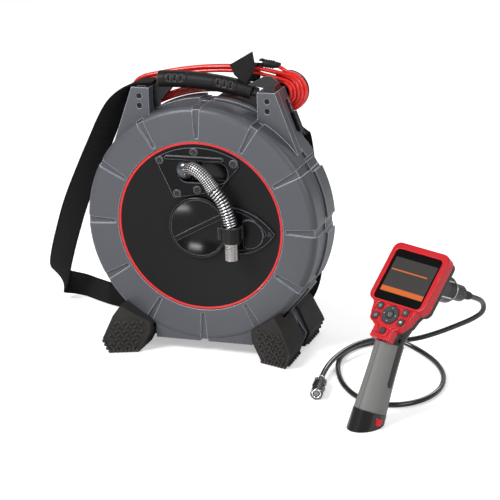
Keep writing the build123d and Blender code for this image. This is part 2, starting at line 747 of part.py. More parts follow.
def drum():
    front = disc_face()
    disc = round_slab(disc_r, front, front + disc_thick)
    disc -= round_slab(knob_r + fit, front - 1, front + disc_thick + 1)
    disc -= slab(port_slot(port_wall + fit), front - 1, front + disc_thick + 1)
    keep("front_disc", disc)

    ring = tube_y(ring_r, disc_r + snug, front - ring_proud, front + disc_thick)
    rims = [e for e in ring.edges() if abs(e.center().Y - front + ring_proud) < 0.1]
    keep("accent_ring", fillet(rims, 0.8))

    back = front + disc_thick + snug
    wall_back = back + drum_wall
    body = round_slab(drum_r, back, back + 2 * drum_half)
    body -= round_slab(drum_r - drum_wall, wall_back, back + 2 * drum_half - drum_wall)
    body += tube_y(hub_r, bearing_r + snug, back + 14, back + 2 * drum_half)
    body -= round_slab(knob_r + fit, back - 1, wall_back + 1)
    body += tube_y(knob_r + 6, knob_r + 1, back, back + 22)
    body += tube_y(knob_r + 6, bearing_r + snug, back + 18, back + 22)
    body -= slab(port_slot(port_wall + fit), back - 1, wall_back + 1)
    far = back + 2 * drum_half
    body -= round_slab(bearing_r + snug, back - 1, far + 1)
    body -= round_slab(knob_r + 0.9, back - 1, back + 14)
    keep("cable_drum", sorted(body.solids(), key=lambda s: s.volume)[-1])

    bearings = []
    for y in (back + 22 - bearing_wide, far - bearing_wide):
        bearings.append(tube_y(bearing_r, axle_r + run_clear, y, y + bearing_wide - snug))
    keep("drum_bearings", Compound(children=bearings))
    axle = round_slab(axle_r, back + 1.5, half - 0.2)
    axle += round_slab(axle_r + 5, far + 0.4, half - case_wall - 0.1)
    keep("drum_axle", axle)

    rings = tube_y(bearing_r - 1.5, axle_r + screw_fit, back + 28, back + 52)
    for y in (back + 32, back + 37, back + 42, back + 47):
        rings -= tube_y(bearing_r, bearing_r - 3.2, y, y + 2)
    keep("slip_ring", rings)

    mid = (wall_back + far - drum_wall) / 2
    coil = tube_y(coil_r_out, coil_r_in, mid - coil_half, mid + coil_half)
    coil = fillet(coil.edges(), 8)
    coil -= slab(port_slot(port_wall + 1), front, front + disc_back + port_deep + 3)
    keep("push_cable", sorted(coil.solids(), key=lambda s: s.volume)[-1])


def lock_knob():
    front = disc_face()
    face = front - knob_proud
    back = front + disc_thick + 6
    knob = round_slab(knob_r, face, back)
    knob = fillet([e for e in knob.edges() if abs(e.center().Y - face) < 0.1], 2.0)
    dish_r = knob_r - 3.5
    ball = (dish_r ** 2 + knob_dish ** 2) / (2 * knob_dish)
    bowl = Pos(0, face + knob_dish - ball, axis_z) * Sphere(ball)
    rib = slab(Rot(0, 0, knob_turn) * Rectangle(2 * dish_r, knob_rib), face + 0.4, face + knob_dish + 3)
    knob -= bowl - rib
    knob += round_slab(axle_r + 6, back, back + 4)
    knob -= round_slab(axle_r + run_clear, back - 6, back + 5)
    keep("lock_knob", knob)


def guide():
    front = disc_face()
    face = front - plate_thick
    plate_edge = Wire([Line((-58, 90, 0), (-34, 38, 0)), Line((-34, 38, 0), (4, 45, 0)),
                       Line((4, 45, 0), (30, 52, 0)), Line((30, 52, 0), (57, 84, 0)),
                       Line((57, 84, 0), (56, 92, 0)),
                       ThreePointArc((56, 92, 0), (0, 107, 0), (-58, 90, 0))])
    plate = slab(make_face(plate_edge), face, front - 0.05)
    plate += slab(Pos(-3.5, 92.8) * RectangleRounded(80, 4.4, 2.1), face - 3.0, face)
    plate -= slab(port_slot(fit), face - 5, front + 1)
    screws = []
    for x, z in plate_screws:
        plate += round_slab(plate_screw_r + 1.8, face - 1.0, face, x, z)
        plate -= round_slab(plate_screw_r + 0.2, face - 2, face + 0.8, x, z)
        plate -= round_slab(1.7, face - 2, front, x, z)
        screw = round_slab(plate_screw_r, face - 1.4, face + 0.8, x, z)
        screw += round_slab(1.6, face + 0.8, front - 0.1, x, z)
        screws.append(screw - round_slab(1.2, face - 2, face - 0.4, x, z))
    keep("guide_plate", plate)
    keep("guide_screws", Compound(children=screws))

    tray_front = front + 0.1
    tray_back = front + port_deep
    tray = slab(port_slot(port_wall), tray_front, tray_back)
    tray -= slab(port_slot(), tray_front - 1, tray_back - port_wall)
    hood_centre = (port_left + 14.0, (port_low + port_high) / 2 + 3)
    hood = Pos(hood_centre[0], front + 6, axis_z + hood_centre[1]) * Sphere(15.0)
    hood -= Pos(hood_centre[0], front + 6, axis_z + hood_centre[1]) * Sphere(12.5)
    hood &= slab(port_slot(-fit), front - 12, tray_back - port_wall + 0.5)
    hood &= block(port_left, hood_centre[0] + 1, -90, 0, 0, 120)
    tray += hood
    first, second = Vector(*place(sleeve_path[0])), Vector(*place(sleeve_path[1]))
    way = Plane(origin=first, z_dir=second - first)
    tray -= extrude(way * Circle(sleeve_r + fit), amount=30)
    keep("cable_port", sorted(tray.solids(), key=lambda s: s.volume)[-1])


def leader():
    sleeve, radii, length = tube_along([place(p) for p in sleeve_path], sleeve_r, sleeve_r - 3.2)
    print("leader sleeve: radii", [round(r) for r in radii], "length", round(length))
    spring, radii, length = tube_along([place(p) for p in spring_path], spring_r, spring_r - spring_wire)
    print("leader spring: radii", [round(r) for r in radii], "length", round(length))
    x, y = head_x, leader_y
    body = Pos(x, y, axis_z) * (Pos(0, 0, head_low) * Cylinder(
        head_r, head_top - head_low - 0.6, align=(Align.CENTER, Align.CENTER, Align.MIN)))
    body = fillet([e for e in body.edges() if abs(e.center().Z - axis_z - head_low) < 0.1], 1.2)
    for z in (-16.5, -19.0):
        groove = Pos(x, y, axis_z + z) * (Cylinder(head_r + 1, 0.9) - Cylinder(head_r - 0.6, 2))
        body -= groove
    body -= Pos(x, y, axis_z + head_low) * Cylinder(lens_r + 0.05, 2 * (lens_thick + 0.5))
    spring -= Pos(x, y, axis_z + head_top - 20) * Cylinder(
        spring_r + 3, 20, align=(Align.CENTER, Align.CENTER, Align.MIN))
    keep("leader_sleeve", sorted(sleeve.solids(), key=lambda s: s.volume)[-1])
    keep("spring_leader", sorted(spring.solids(), key=lambda s: s.volume)[-1])
    keep("camera_head", body)
    lens = Pos(x, y, axis_z + head_low + 0.4) * Cylinder(
        lens_r, lens_thick, align=(Align.CENTER, Align.CENTER, Align.MIN))
    keep("camera_lens", lens)

    front = disc_face()
    face = front - clip_base_thick
    leaf = Wire([ThreePointArc((clip_base_left, 30, 0), (78, 20, 0), (clip_tip, -3, 0)),
                 ThreePointArc((clip_tip, -3, 0), (80, -26, 0), (clip_base_left, -33, 0)),
                 ThreePointArc((clip_base_left, -33, 0), (knob_r + 8, -2, 0), (clip_base_left, 30, 0))])
    base = slab(make_face(leaf), face, front - 0.05)
    base -= round_slab(knob_r + 1.2, -90, 0)
    pad = make_face(Wire([Line((62, 13, 0), (62, -22, 0)),
                          ThreePointArc((62, -22, 0), (89, -5, 0), (62, 13, 0))]))
    base += slab(pad, face - clip_pad, face)
    base -= round_slab(2.0, -90, 0, clip_screw_x, -3)
    keep("clip_base", sorted(base.solids(), key=lambda s: s.volume)[-1])
    screw = round_slab(3.2, face - 1.6, face - 0.05, clip_screw_x, -3) + round_slab(
        1.9, face - 0.05, front - 0.1, clip_screw_x, -3)
    keep("clip_screw", screw - round_slab(1.2, face - 2, face - 0.8, clip_screw_x, -3))

    height = clip_top - clip_low
    middle = axis_z + (clip_top + clip_low) / 2
    cuff = Pos(x, y, middle) * (Cylinder(clip_r, height) - Cylinder(head_r + 0.05, height + 2))
    ear = Pos(x - clip_r - 2.2, y + 2, middle) * Box(6, 5, height - 6)
    stem = Pos(x + 4, (y + clip_r - 2 + face - 0.1) / 2, middle) * Box(
        14, face - 0.1 - (y + clip_r - 2), height - 4)
    clip = cuff + ear + stem
    clip -= Pos(x, y, middle) * Cylinder(head_r + 0.05, height + 2)
    clip -= Pos(x - clip_r + 1.5, y + clip_gap_y, middle) * Box(10, clip_gap, height + 2)
    keep("camera_clip", clip)


# ---------------------------------------------------------------- hand unit
hand_frame = Pos(hand_x, hand_y, 0) * Rot(0, 0, hand_yaw) * Rot(0, hand_roll, 0) * Rot(-hand_lean, 0, 0)
tilt = radians(screen_tilt)


def hand(shape):
    return hand_frame * shape


def screen_plane(w=0.0):
    """Plane of the display, moved w towards the user: x right, y up."""
    origin = Vector(0, -w * cos(tilt), screen_up + w * sin(tilt))
    return Plane(origin=origin, x_dir=(1, 0, 0), z_dir=(0, -cos(tilt), sin(tilt)))


def on_screen(sketch, w_back, w_front):
    return extrude(screen_plane(w_back) * sketch, amount=w_front - w_back)


def oval(size, z, shrink=0.0):
    return Pos(0, 0, z) * Ellipse(size[0] - shrink, size[1] - shrink)


def hand_outline(inset=0.0):
    """Front view of the display housing with its keypad lobe and the tongue down the neck."""
    head = Pos(0, bezel_mid) * RectangleRounded(bezel_w - 2 * inset, bezel_h - 2 * inset,
                                                bezel_round - inset / 2)
    base = bezel_mid - bezel_h / 2
    lobe = outline((-lobe_half - 7 + inset, base + 10), (-lobe_half + inset, base - 5),
                   (-lobe_half + 2 + inset, base - 15), (-neck_half - 6 + inset, lobe_low + inset),
                   (-neck_half + inset, lobe_low - 4), (-neck_half + inset, neck_low + inset),
                   (neck_half - inset, neck_low + inset), (neck_half - inset, lobe_low - 4),
                   (neck_half + 6 - inset, lobe_low + inset), (lobe_half - 2 - inset, base - 15),
                   (lobe_half - inset, base - 5), (lobe_half + 7 - inset, base + 10))
    return head + lobe


def key_sketches():
    keys = {"four_way_pad": Pos(0, pad_u) * (Circle(pad_r) - Circle(select_r + 0.4)),
            "select_button": Pos(0, pad_u) * Circle(select_r),
            "menu_key": Pos(-key_x, key_high_u) * RectangleRounded(key_w, key_h, 2.4),
            "picture_key": Pos(-key_x, key_low_u) * RectangleRounded(key_w, key_h, 2.4),
            "return_key": Pos(key_x, key_high_u) * RectangleRounded(key_w, key_h, 2.4),
            "camera_key": Pos(key_x, key_low_u) * RectangleRounded(key_w, key_h, 2.4),
            "power_key": Pos(0, bottom_key_u) * RectangleRounded(8.0, 7.0, 2.2)}
    return keys


def below_neck():
    """The room of the grip and its frame, which both shells of the head stay clear of."""
    room = Pos(0, 0, grip_top + fit) * Box(200, 200, 80, align=(Align.CENTER, Align.CENTER, Align.MAX))
    return room + extrude(oval(frame_size, grip_top - 4, -fit), amount=14 + fit)


def display_head():
    red = on_screen(hand_outline(), -shell_deep, 0)
    rim = on_screen(Pos(0, bezel_mid) * RectangleRounded(bezel_w, bezel_h, bezel_round), 0, bezel_proud)
    rim -= on_screen(Pos(0, window_mid) * RectangleRounded(window_w, window_h, 6), -1, bezel_proud + 1)
    red += rim
    red = fillet([e for e in red.edges().filter_by(GeomType.CIRCLE)
                  if abs(e.radius - bezel_round) < 0.01 and
                  abs(screen_plane().to_local_coords(e.center()).Z - bezel_proud) < 0.1], 1.5)
    hollow = offset(hand_outline(), amount=-shell_wall, kind=Kind.INTERSECTION)
    red -= on_screen(hollow, -shell_deep - 1, -shell_wall)
    red -= on_screen(Pos(0, window_mid) * RectangleRounded(window_w - 3, window_h - 3, 5), -shell_deep, 1)
    red -= on_screen(Pos(0, window_mid) * RectangleRounded(window_w, window_h, 6), -window_thick - snug, 5)
    for sketch in key_sketches().values():
        red -= on_screen(offset(sketch, amount=fit), -shell_deep, 5)
    red -= below_neck()
    keep("front_shell", hand(sorted(red.solids(), key=lambda s: s.volume)[-1]))

    window = on_screen(Pos(0, window_mid) * RectangleRounded(window_w - 2 * snug, window_h - 2 * snug, 5.9),
                       -window_thick, 0)
    keep("display_window", hand(window))
    panel = on_screen(Rectangle(lcd_w, lcd_h), -window_thick - 3.1, -window_thick - snug)
    keep("lcd_panel", hand(panel))
    board = on_screen(Pos(0, -9) * Rectangle(55, 72), -8.0, -6.4)
    keep("main_board", hand(board))

    travel_room = key_travel + 0.3
    for name, sketch in key_sketches().items():
        proud = 1.6 if name != "select_button" else 2.2
        key = on_screen(sketch, -shell_wall - 1.0, proud)
        top = [e for e in key.edges() if abs(screen_plane().to_local_coords(e.center()).Z - proud) < 0.05]
        key = fillet(top, 0.7)
        keep(name, hand(key))
    assert shell_wall + 1.0 + travel_room < 6.4


def rear_body():
    """Black rear shell: the head's back, the neck and the hump that carries the nose."""
    back_w = -shell_deep - fit
    head = Pos(0, bezel_mid) * RectangleRounded(bezel_w - 3, bezel_h - 3, bezel_round)
    deep = loft([screen_plane(back_w) * head,
                 screen_plane(back_w - rear_deep) * (Pos(0, bezel_mid) * RectangleRounded(
                     bezel_w - 22, bezel_h - 22, bezel_round))])
    hump = loft([screen_plane(back_w - 8) * (Pos(0, 0) * RectangleRounded(56, 52, 14)),
                 Plane(origin=(0, nose_start - 0.1, screen_up), x_dir=(1, 0, 0), z_dir=(0, 1, 0)) *
                 Circle(nose_r + 2)])
    lower = on_screen(hand_outline(1.2), back_w - 8, back_w)
    neck_top = Plane(origin=screen_plane(back_w - 10).from_local_coords((0, -40, 0)),
                     x_dir=(1, 0, 0), z_dir=(0, sin(tilt), cos(tilt)))
    neck = loft([Plane.XY * oval(grip_top_size, grip_top + 0.3, 1.2), neck_top * RectangleRounded(44, 22, 9)])
    body = deep + hump + lower + neck
    ahead = on_screen(Rectangle(200, 400), back_w, 60)
    body -= ahead
    hollow = offset(hand_outline(1.2), amount=-shell_wall, kind=Kind.INTERSECTION)
    hollow = on_screen(hollow, back_w - 5.5, back_w + 1)
    body -= hollow
    core = loft([screen_plane(back_w - 5) * (Pos(0, bezel_mid) * RectangleRounded(
                     bezel_w - 26, bezel_h - 26, 8)),
                 screen_plane(back_w - rear_deep + shell_wall) * (Pos(0, bezel_mid) * RectangleRounded(
                     bezel_w - 34, bezel_h - 34, 8))])
    body -= core
    body -= below_neck()
    keep("rear_shell", hand(sorted(body.solids(), key=lambda s: s.volume)[-1]))


def handle_unit():
    low, mid, top = battery_top + fit, grip_mid, grip_top
    sleeve = loft([oval(grip_low_size, low), oval(grip_mid_size, mid), oval(grip_top_size, top)])
    core = extrude(oval(frame_size, low), amount=top - low + 10)
    hollow = extrude(oval(frame_size, low - 1, -0.1), amount=top - low + 2)
    grip = sleeve - hollow
    slots = []
    inlays = []
    height = top + 1 - inlay_low
    for side in (-1, 1):
        slot = Pos(side * 15, 0, inlay_low + height / 2) * Rot(0, 90, 0) * SlotOverall(
            height + inlay_half * 2, inlay_half * 2)
        slots.append(extrude(slot, amount=9, both=True))
        rib = Pos(side * 15, 0, inlay_low + height / 2) * Rot(0, 90, 0) * SlotOverall(
            height + inlay_half * 2 - 2 * fit, inlay_half * 2 - 2 * fit)
        inlays.append(extrude(rib, amount=9, both=True))
    shell_space = loft([oval(grip_low_size, low, 0.6), oval(grip_mid_size, mid, 0.6),
                        oval(grip_top_size, top, 0.6)])
    for slot in slots:
        grip -= slot
    frame = core
    for rib in inlays:
        frame += rib & shell_space
    pocket = extrude(Pos(0, 0, low - 1) * RectangleRounded(17, 22, 5), amount=52)
    frame -= pocket
    keep("pistol_grip", hand(sorted(grip.solids(), key=lambda s: s.volume)[-1]))
    keep("pistol_frame", hand(sorted(frame.solids(), key=lambda s: s.volume)[-1]))

    sole = loft([oval((sole_half_x + 1, sole_half_y + 1), -14), oval((sole_half_x, sole_half_y), battery_top)])
    sole += extrude(Pos(0, 0, battery_top - 1) * RectangleRounded(17 - 2 * fit, 22 - 2 * fit, 5 - fit),
                    amount=46)
    floor = Pos(0, 0, -100) * Box(400, 400, 200)
    base = hand(sole) - Pos(hand_x, hand_y, 0) * floor
    latch_hole = Pos(sole_half_x - 3, -4, 8.5) * Box(12, 11, 9)
    base -= hand(latch_hole)
    keep("battery_pack", sorted(base.solids(), key=lambda s: s.volume)[-1])
    latch = Pos(sole_half_x - 1.4, -4, 8.5) * Box(5.0, 10.2, 8.2)
    latch = fillet(latch.edges().filter_by(Axis.Z), 1.0)
    for z in (6.0, 8.5, 11.0):
        latch += Pos(sole_half_x + 1.3, -4, z) * Box(1.0, 8.0, 1.0)
    keep("battery_latch", hand(latch))


def along_nose(r0, r1, y0, y1):
    """A round piece on the nose axis, tapering from r0 to r1."""
    plane = Plane(origin=(0, y0, screen_up), x_dir=(1, 0, 0), z_dir=(0, 1, 0))
    if abs(r0 - r1) < 1e-6:
        return extrude(plane * Circle(r0), amount=y1 - y0)
    return plane * Cone(r0, r1, y1 - y0, align=(Align.CENTER, Align.CENTER, Align.MIN))


def nose():
    body = along_nose(nose_r + 1.5, nose_r, nose_start, nose_start + 20)
    body += along_nose(nose_r, nose_r, nose_start + 20, nose_end - 10)
    body += along_nose(nose_r, nut_r + 1, nose_end - 10, nose_end)
    body -= along_nose(nose_r - 3.5, nose_r - 3.5, nose_start - 1, nose_end - 14)
    body -= along_nose(imager_cord_r + 1, imager_cord_r + 1, nose_start, nose_end + 1)
    keep("cable_nose", hand(body))

    start = nose_end + fit
    nut = along_nose(nut_r, nut_r, start, start + nut_len)
    knurl = Plane(origin=(0, start + 3, screen_up), x_dir=(1, 0, 0), z_dir=(0, 1, 0))
    for i in range(18):
        flute = extrude(knurl * (Rot(0, 0, 20 * i) * Pos(nut_r, 0) * Circle(0.8)), amount=nut_len - 8)
        nut -= flute
    nut -= along_nose(imager_cord_r + 1, imager_cord_r + 1, start - 1, start + nut_len + 1)
    keep("connector_nut", hand(nut))

    boot_start = start + nut_len + fit
    boot = along_nose(7.0, imager_cord_r + 1.6, boot_start, boot_start + boot_len)
    boot += along_nose(imager_cord_r + 0.95, imager_cord_r + 0.95, nose_end - 6, boot_start + 0.5)
    boot -= along_nose(imager_cord_r + 0.1, imager_cord_r + 0.1, nose_end - 7, boot_start + boot_len + 1)
    keep("cable_boot", hand(boot))
    return boot_start + boot_len


cord_floor = imager_cord_r + 0.3
imager_rest = (
    # route of the imager's cable after it leaves the boot: x, y, height above the floor
    (372.0, -12.0, 93.0), (371.0, -2.0, 76.0), (356.0, 6.0, 62.0), (330.0, 16.0, 46.0),
    (300.0, 30.0, 28.0), (268.0, 44.0, 12.0), (236.0, 50.0, cord_floor + 1),
    (204.0, 36.0, cord_floor), (186.0, 6.0, cord_floor), (184.0, -34.0, cord_floor),
    (196.0, -78.0, cord_floor), (216.0, -122.0, cord_floor), (247.0, -160.0, cord_floor),
    (288.0, -174.0, cord_floor), (322.0, -152.0, cord_floor), (338.0, -110.0, cord_floor),
    (334.0, -62.0, cord_floor), (313.0, -14.0, cord_floor), (281.0, 25.0, cord_floor),
    (246.0, 38.0, 2 * imager_cord_r + 6), (216.0, 24.0, 3 * imager_cord_r + 5),
    (194.0, -8.0, 3 * imager_cord_r + 4),
    (182.0, -50.0, 2 * imager_cord_r + 4), (181.0, -92.0, head2_r + 0.3), (187.0, -126.0, head2_r + 0.3))


def imager(exit_y):
    local_exit = Vector(0, exit_y - 14, screen_up)
    ahead = Vector(0, exit_y + 14, screen_up)
    start = (hand_frame * Pos(*local_exit)).position
    second = (hand_frame * Pos(*ahead)).position
    points = [(start.X, start.Y, start.Z), (second.X, second.Y, second.Z)] + list(imager_rest)
    tube, radii, length = tube_along(points, imager_cord_r)
    print("imager cable: start", [round(v, 1) for v in points[0]], "second", [round(v, 1) for v in points[1]])
    print("imager cable: runs", [round((Vector(*b) - Vector(*a)).length) for a, b in zip(points, points[1:])])
    print("imager cable: radii", [round(r) for r in radii], "length", round(length), "volume ratio",
          round(tube.volume / (pi * imager_cord_r ** 2 * length), 4))
    keep("imager_cable", tube)

    tail, end = Vector(*points[-2]), Vector(*points[-1])
    along = (end - tail).normalized()
    along = Vector(along.X, along.Y, 0).normalized()
    plane = Plane(origin=end, z_dir=along)
    up = (Align.CENTER, Align.CENTER, Align.MIN)
    head = plane * (Pos(0, 0, 0.1) * Cylinder(head2_r, head2_len, align=up))
    collar = plane * (Pos(0, 0, -9.0) * Cone(imager_cord_r + 1.2, head2_r - 1.0, 9.1, align=up))
    collar -= plane * (Pos(0, 0, -12) * Cylinder(imager_cord_r + 0.15, 12.05, align=up))
    head += collar
    for z in (8.0, 11.0, head2_len - 9):
        head -= plane * (Pos(0, 0, z) * (Cylinder(head2_r + 1, 1.0) - Cylinder(head2_r - 0.6, 2)))
    head -= plane * (Pos(0, 0, head2_len - 1.4) * Cylinder(head2_r - 1.6, 4, align=up))
    keep("imager_head", head)
    keep("imager_lens", plane * (Pos(0, 0, head2_len - 1.3) * Cylinder(head2_r - 1.7, 1.0, align=up)))


# ---------------------------------------------------------------- build
housing()
legs_and_feet()
handle()
rear_fittings()
stored_cord()
shoulder_strap()
drum()
lock_knob()
guide()
leader()
display_head()
rear_body()
handle_unit()
imager(nose())
print(len(made), "sub-parts")
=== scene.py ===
"""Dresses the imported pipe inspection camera: drum case, stored cord, strap and hand-held display."""

import math

import bmesh
import bpy
from bpy.props import FloatProperty, FloatVectorProperty, IntProperty
from mathutils import Matrix, Vector


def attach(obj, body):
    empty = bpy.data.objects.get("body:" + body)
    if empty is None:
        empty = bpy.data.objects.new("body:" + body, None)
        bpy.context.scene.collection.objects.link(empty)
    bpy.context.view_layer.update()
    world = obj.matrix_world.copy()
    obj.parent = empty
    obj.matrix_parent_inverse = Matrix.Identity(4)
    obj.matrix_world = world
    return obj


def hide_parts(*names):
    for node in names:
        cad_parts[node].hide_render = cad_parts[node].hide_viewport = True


bl_info = {
    "name": "Pipe inspection camera",
    "version": (1, 0, 0),
    "blender": (4, 5, 0),
    "location": "3D View > Sidebar > Inspection camera",
    "description": "Finishes and details for a pipe inspection camera set",
    "category": "Object",
}

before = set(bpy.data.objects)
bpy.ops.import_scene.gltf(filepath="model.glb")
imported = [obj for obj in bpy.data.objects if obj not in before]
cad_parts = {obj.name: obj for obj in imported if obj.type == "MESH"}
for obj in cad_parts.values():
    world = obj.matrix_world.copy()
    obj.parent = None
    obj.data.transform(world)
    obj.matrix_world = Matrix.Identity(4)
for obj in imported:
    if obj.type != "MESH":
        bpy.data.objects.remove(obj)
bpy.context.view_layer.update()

MM = 0.001
AXIS_Z = 0.176                      # height of the drum's axis
GRIP_Y, GRIP_Z, GRIP_R = 7.0, 184.0, 11.25          # the grip's middle and its radius, in millimetres
GRIP_SLOPE, GRIP_BOW = 0.0978, 0.001325             # how the grip sinks to the right and towards its ends
FULL_TURN = 2 * math.pi
FINE = 0.0001                       # half the width of the change at the edge of a printed bar
BLACK, JET = (0.010, 0.010, 0.011), (0.0035, 0.0035, 0.004)         # the usual black plastic and a darker one


def moved(x, y, z):
    """A matrix that moves."""
    return Matrix.Translation((x, y, z))


def rotated(degrees, axis="Z"):
    """A matrix that turns by degrees."""
    return Matrix.Rotation(math.radians(degrees), 4, axis)


# the hand unit's own frame: x right, y back, z up its handle
HAND = moved(0.275, -0.2305, 0.0) @ rotated(-23.0) @ rotated(3.2, "Y") @ rotated(-24.1, "X")
HEAD_HIGH, HEAD_TILT = 0.184, 71.3  # how high up the handle the display is, and its lean in degrees
# the display's frame: x right, y up the display, z out of it
SCREEN = HAND @ moved(0, 0, HEAD_HIGH) @ rotated(HEAD_TILT, "X")


def on_case(x, y, z):
    """A place in millimetres, its height counted from the drum's axis."""
    return Vector((x * MM, y * MM, AXIS_Z + z * MM))


def at(x, y, z):
    """A place in millimetres, its height counted from the floor."""
    return Vector((x * MM, y * MM, z * MM))


# ---------------------------------------------------------------- settings
class CaseSettings(bpy.types.PropertyGroup):
    shell_colour: FloatVectorProperty(name="Case colour", description="Colour of the case's plastic",
                                      subtype="COLOR", default=(0.066, 0.070, 0.081))
    ring_colour: FloatVectorProperty(name="Ring colour", description="Colour of the ring round the drum's face",
                                     subtype="COLOR", default=(0.60, 0.022, 0.024))
    disc_colour: FloatVectorProperty(name="Disc colour", description="Colour of the drum's face",
                                     subtype="COLOR", default=(0.0085, 0.0078, 0.0083))
    foot_colour: FloatVectorProperty(name="Foot colour", description="Colour of the rubber feet",
                                     subtype="COLOR", default=(0.027, 0.025, 0.024))
    # the line along an edge is painted lighter, a painted highlight; the same width softens the shading normal there
    edge_size: FloatProperty(name="Edge size", description="Width of the worn line along an edge",
                             subtype="DISTANCE", default=0.0018, min=0.0001, max=0.004)


class CordSettings(bpy.types.PropertyGroup):
    stored_width: FloatProperty(name="Stored cord", description="Diameter of the red cord",
                                subtype="DISTANCE", default=0.0052, min=0.002, max=0.01)
    imager_width: FloatProperty(name="Imager cable", description="Diameter of the imager's cable",
                                subtype="DISTANCE", default=0.0068, min=0.003, max=0.01)
    cord_colour: FloatVectorProperty(name="Cord colour", description="Colour of the stored cord",
                                     subtype="COLOR", default=(0.66, 0.016, 0.012))
    strap_width: FloatProperty(name="Strap width", description="Width of the shoulder strap",
                               subtype="DISTANCE", default=0.034, min=0.02, max=0.05)


class HandsetSettings(bpy.types.PropertyGroup):
    shell_colour: FloatVectorProperty(name="Shell colour", description="Colour of the display's front shell",
                                      subtype="COLOR", default=(0.46, 0.007, 0.013))
    grip_colour: FloatVectorProperty(name="Grip colour", description="Colour of the soft grip",
                                     subtype="COLOR", default=(0.145, 0.145, 0.140))
    bar_colour: FloatVectorProperty(name="Bar colour", description="Colour of the bars shown on the display",
                                    subtype="COLOR", default=(0.42, 0.095, 0.022))
    rib_count: IntProperty(name="Side ribs", description="Fine ribs on each side of the display's back",
                           default=24, min=6, max=40)


class StudioSettings(bpy.types.PropertyGroup):
    lens: FloatProperty(name="Lens", description="Focal length in millimetres", default=136.8, min=30, max=300)
    key_power: FloatProperty(name="Key light", description="Power of the main softbox", subtype="POWER",
                             default=114.0, min=0, max=500)
    fill_power: FloatProperty(name="Fill light", description="Power of the fill softbox", subtype="POWER",
                              default=34.0, min=0, max=500)
    gloss_power: FloatProperty(name="Gloss card", description="Power of the card seen only in glossy parts",
                               subtype="POWER", default=3.4, min=0, max=100)


# ---------------------------------------------------------------- shader sums
class Value:
    """A node's output that can be used in sums."""

    def __init__(self, finish, socket):
        self.finish, self.socket = finish, socket

    def __add__(self, other):
        return self.finish.sum("ADD", self, other)

    def __sub__(self, other):
        return self.finish.sum("SUBTRACT", self, other)

    def __rsub__(self, other):
        return self.finish.sum("SUBTRACT", other, self)

    def __mul__(self, other):
        return self.finish.sum("MULTIPLY", self, other)

    __radd__, __rmul__ = __add__, __mul__


class Finish:
    """A node material while it is being made."""

    def __init__(self, name, **plain):
        self.material = bpy.data.materials.new(name)
        self.material.use_nodes = True
        self.tree = self.material.node_tree
        self.shader = self.tree.nodes["Principled BSDF"]
        for socket, number in plain.items():
            self.set(socket.replace("_", " "), number)

    def feed(self, socket, given):
        """Links a value to a socket, or sets it to a number or a colour."""
        if isinstance(given, Value):
            self.tree.links.new(given.socket, socket)
        else:
            socket.default_value = given

    def node(self, kind, settings, inputs, output=0):
        """A node of a kind with its settings and what goes into its sockets."""
        made = self.tree.nodes.new(kind)
        for key, setting in settings.items():
            setattr(made, key, setting)
        for key, given in inputs.items():
            self.feed(made.inputs[key], given)
        return Value(self, made.outputs[output])

    def set(self, socket, given):
        """Gives the shader a value, a number or a colour."""
        self.feed(self.shader.inputs[socket], given)

    def sum(self, operation, *values):
        return self.node("ShaderNodeMath", {"operation": operation}, dict(enumerate(values)))

    def vector_sum(self, operation, one, two, output=0):
        return self.node("ShaderNodeVectorMath", {"operation": operation}, {0: one, 1: two}, output)

    def place(self):
        return self.node("ShaderNodeTexCoord", {}, {}, "Object")

    def local(self, matrix):
        """A spot's x and y in a matrix's own frame."""
        offset = self.vector_sum("SUBTRACT", self.place(), tuple(matrix.translation))
        return [self.vector_sum("DOT_PRODUCT", offset, tuple(matrix.to_3x3().col[i]), "Value") for i in (0, 1)]

    def uv(self):
        """A spot's place across and along its piece, from the piece's UV map."""
        place = self.node("ShaderNodeUVMap", {"uv_map": "along"}, {})
        return [self.node("ShaderNodeSeparateXYZ", {}, {0: place}, axis) for axis in (0, 1)]

    def noise(self, place, scale, detail=2.0, rough=0.5):
        return self.node("ShaderNodeTexNoise", {}, {"Vector": place, "Scale": scale, "Detail": detail,
                                                    "Roughness": rough})

    def soft(self, value, low, high):
        """0 below low, 1 above high, smooth between."""
        return self.node("ShaderNodeMapRange", {"interpolation_type": "SMOOTHSTEP"},
                         {"Value": value, "From Min": low, "From Max": high, "To Min": 0.0, "To Max": 1.0})

    def mix(self, amount, one, two):
        return self.node("ShaderNodeMix", {"data_type": "RGBA"}, {0: amount, 6: rgba(one), 7: rgba(two)}, 2)

    def between(self, amount, colour, low, high):
        """From one shade of a colour to another."""
        return self.mix(amount, shade(colour, low), shade(colour, high))

    def edges(self, size):
        """A softened normal, and how strongly a spot lies on an edge."""
        soft = self.node("ShaderNodeBevel", {"samples": 6}, {"Radius": size})
        plain = self.node("ShaderNodeNewGeometry", {}, {}, "Normal")
        return soft, self.soft(1 - self.vector_sum("DOT_PRODUCT", soft, plain, "Value"), 0.01, 0.14)

    def bump(self, height, distance, strength=1.0, normal=None):
        inputs = {"Height": height, "Distance": distance, "Strength": strength}
        if normal is not None:
            inputs["Normal"] = normal
        self.set("Normal", self.node("ShaderNodeBump", {}, inputs))


def rgba(colour):
    """A colour with its alpha, or the value that gives it."""
    return colour if isinstance(colour, Value) else (*tuple(colour)[:3], 1.0)


def shade(colour, amount):
    """A colour made lighter or darker."""
    return tuple(min(1.0, c * amount) for c in tuple(colour)[:3])


FINISHES = {}


def kept(maker):
    """A finish is made once for each name; asked for again, it needs only its name."""
    def ask(name, *given, **named):
        if name not in FINISHES:
            FINISHES[name] = maker(name, *given, **named)
        return FINISHES[name]
    return ask


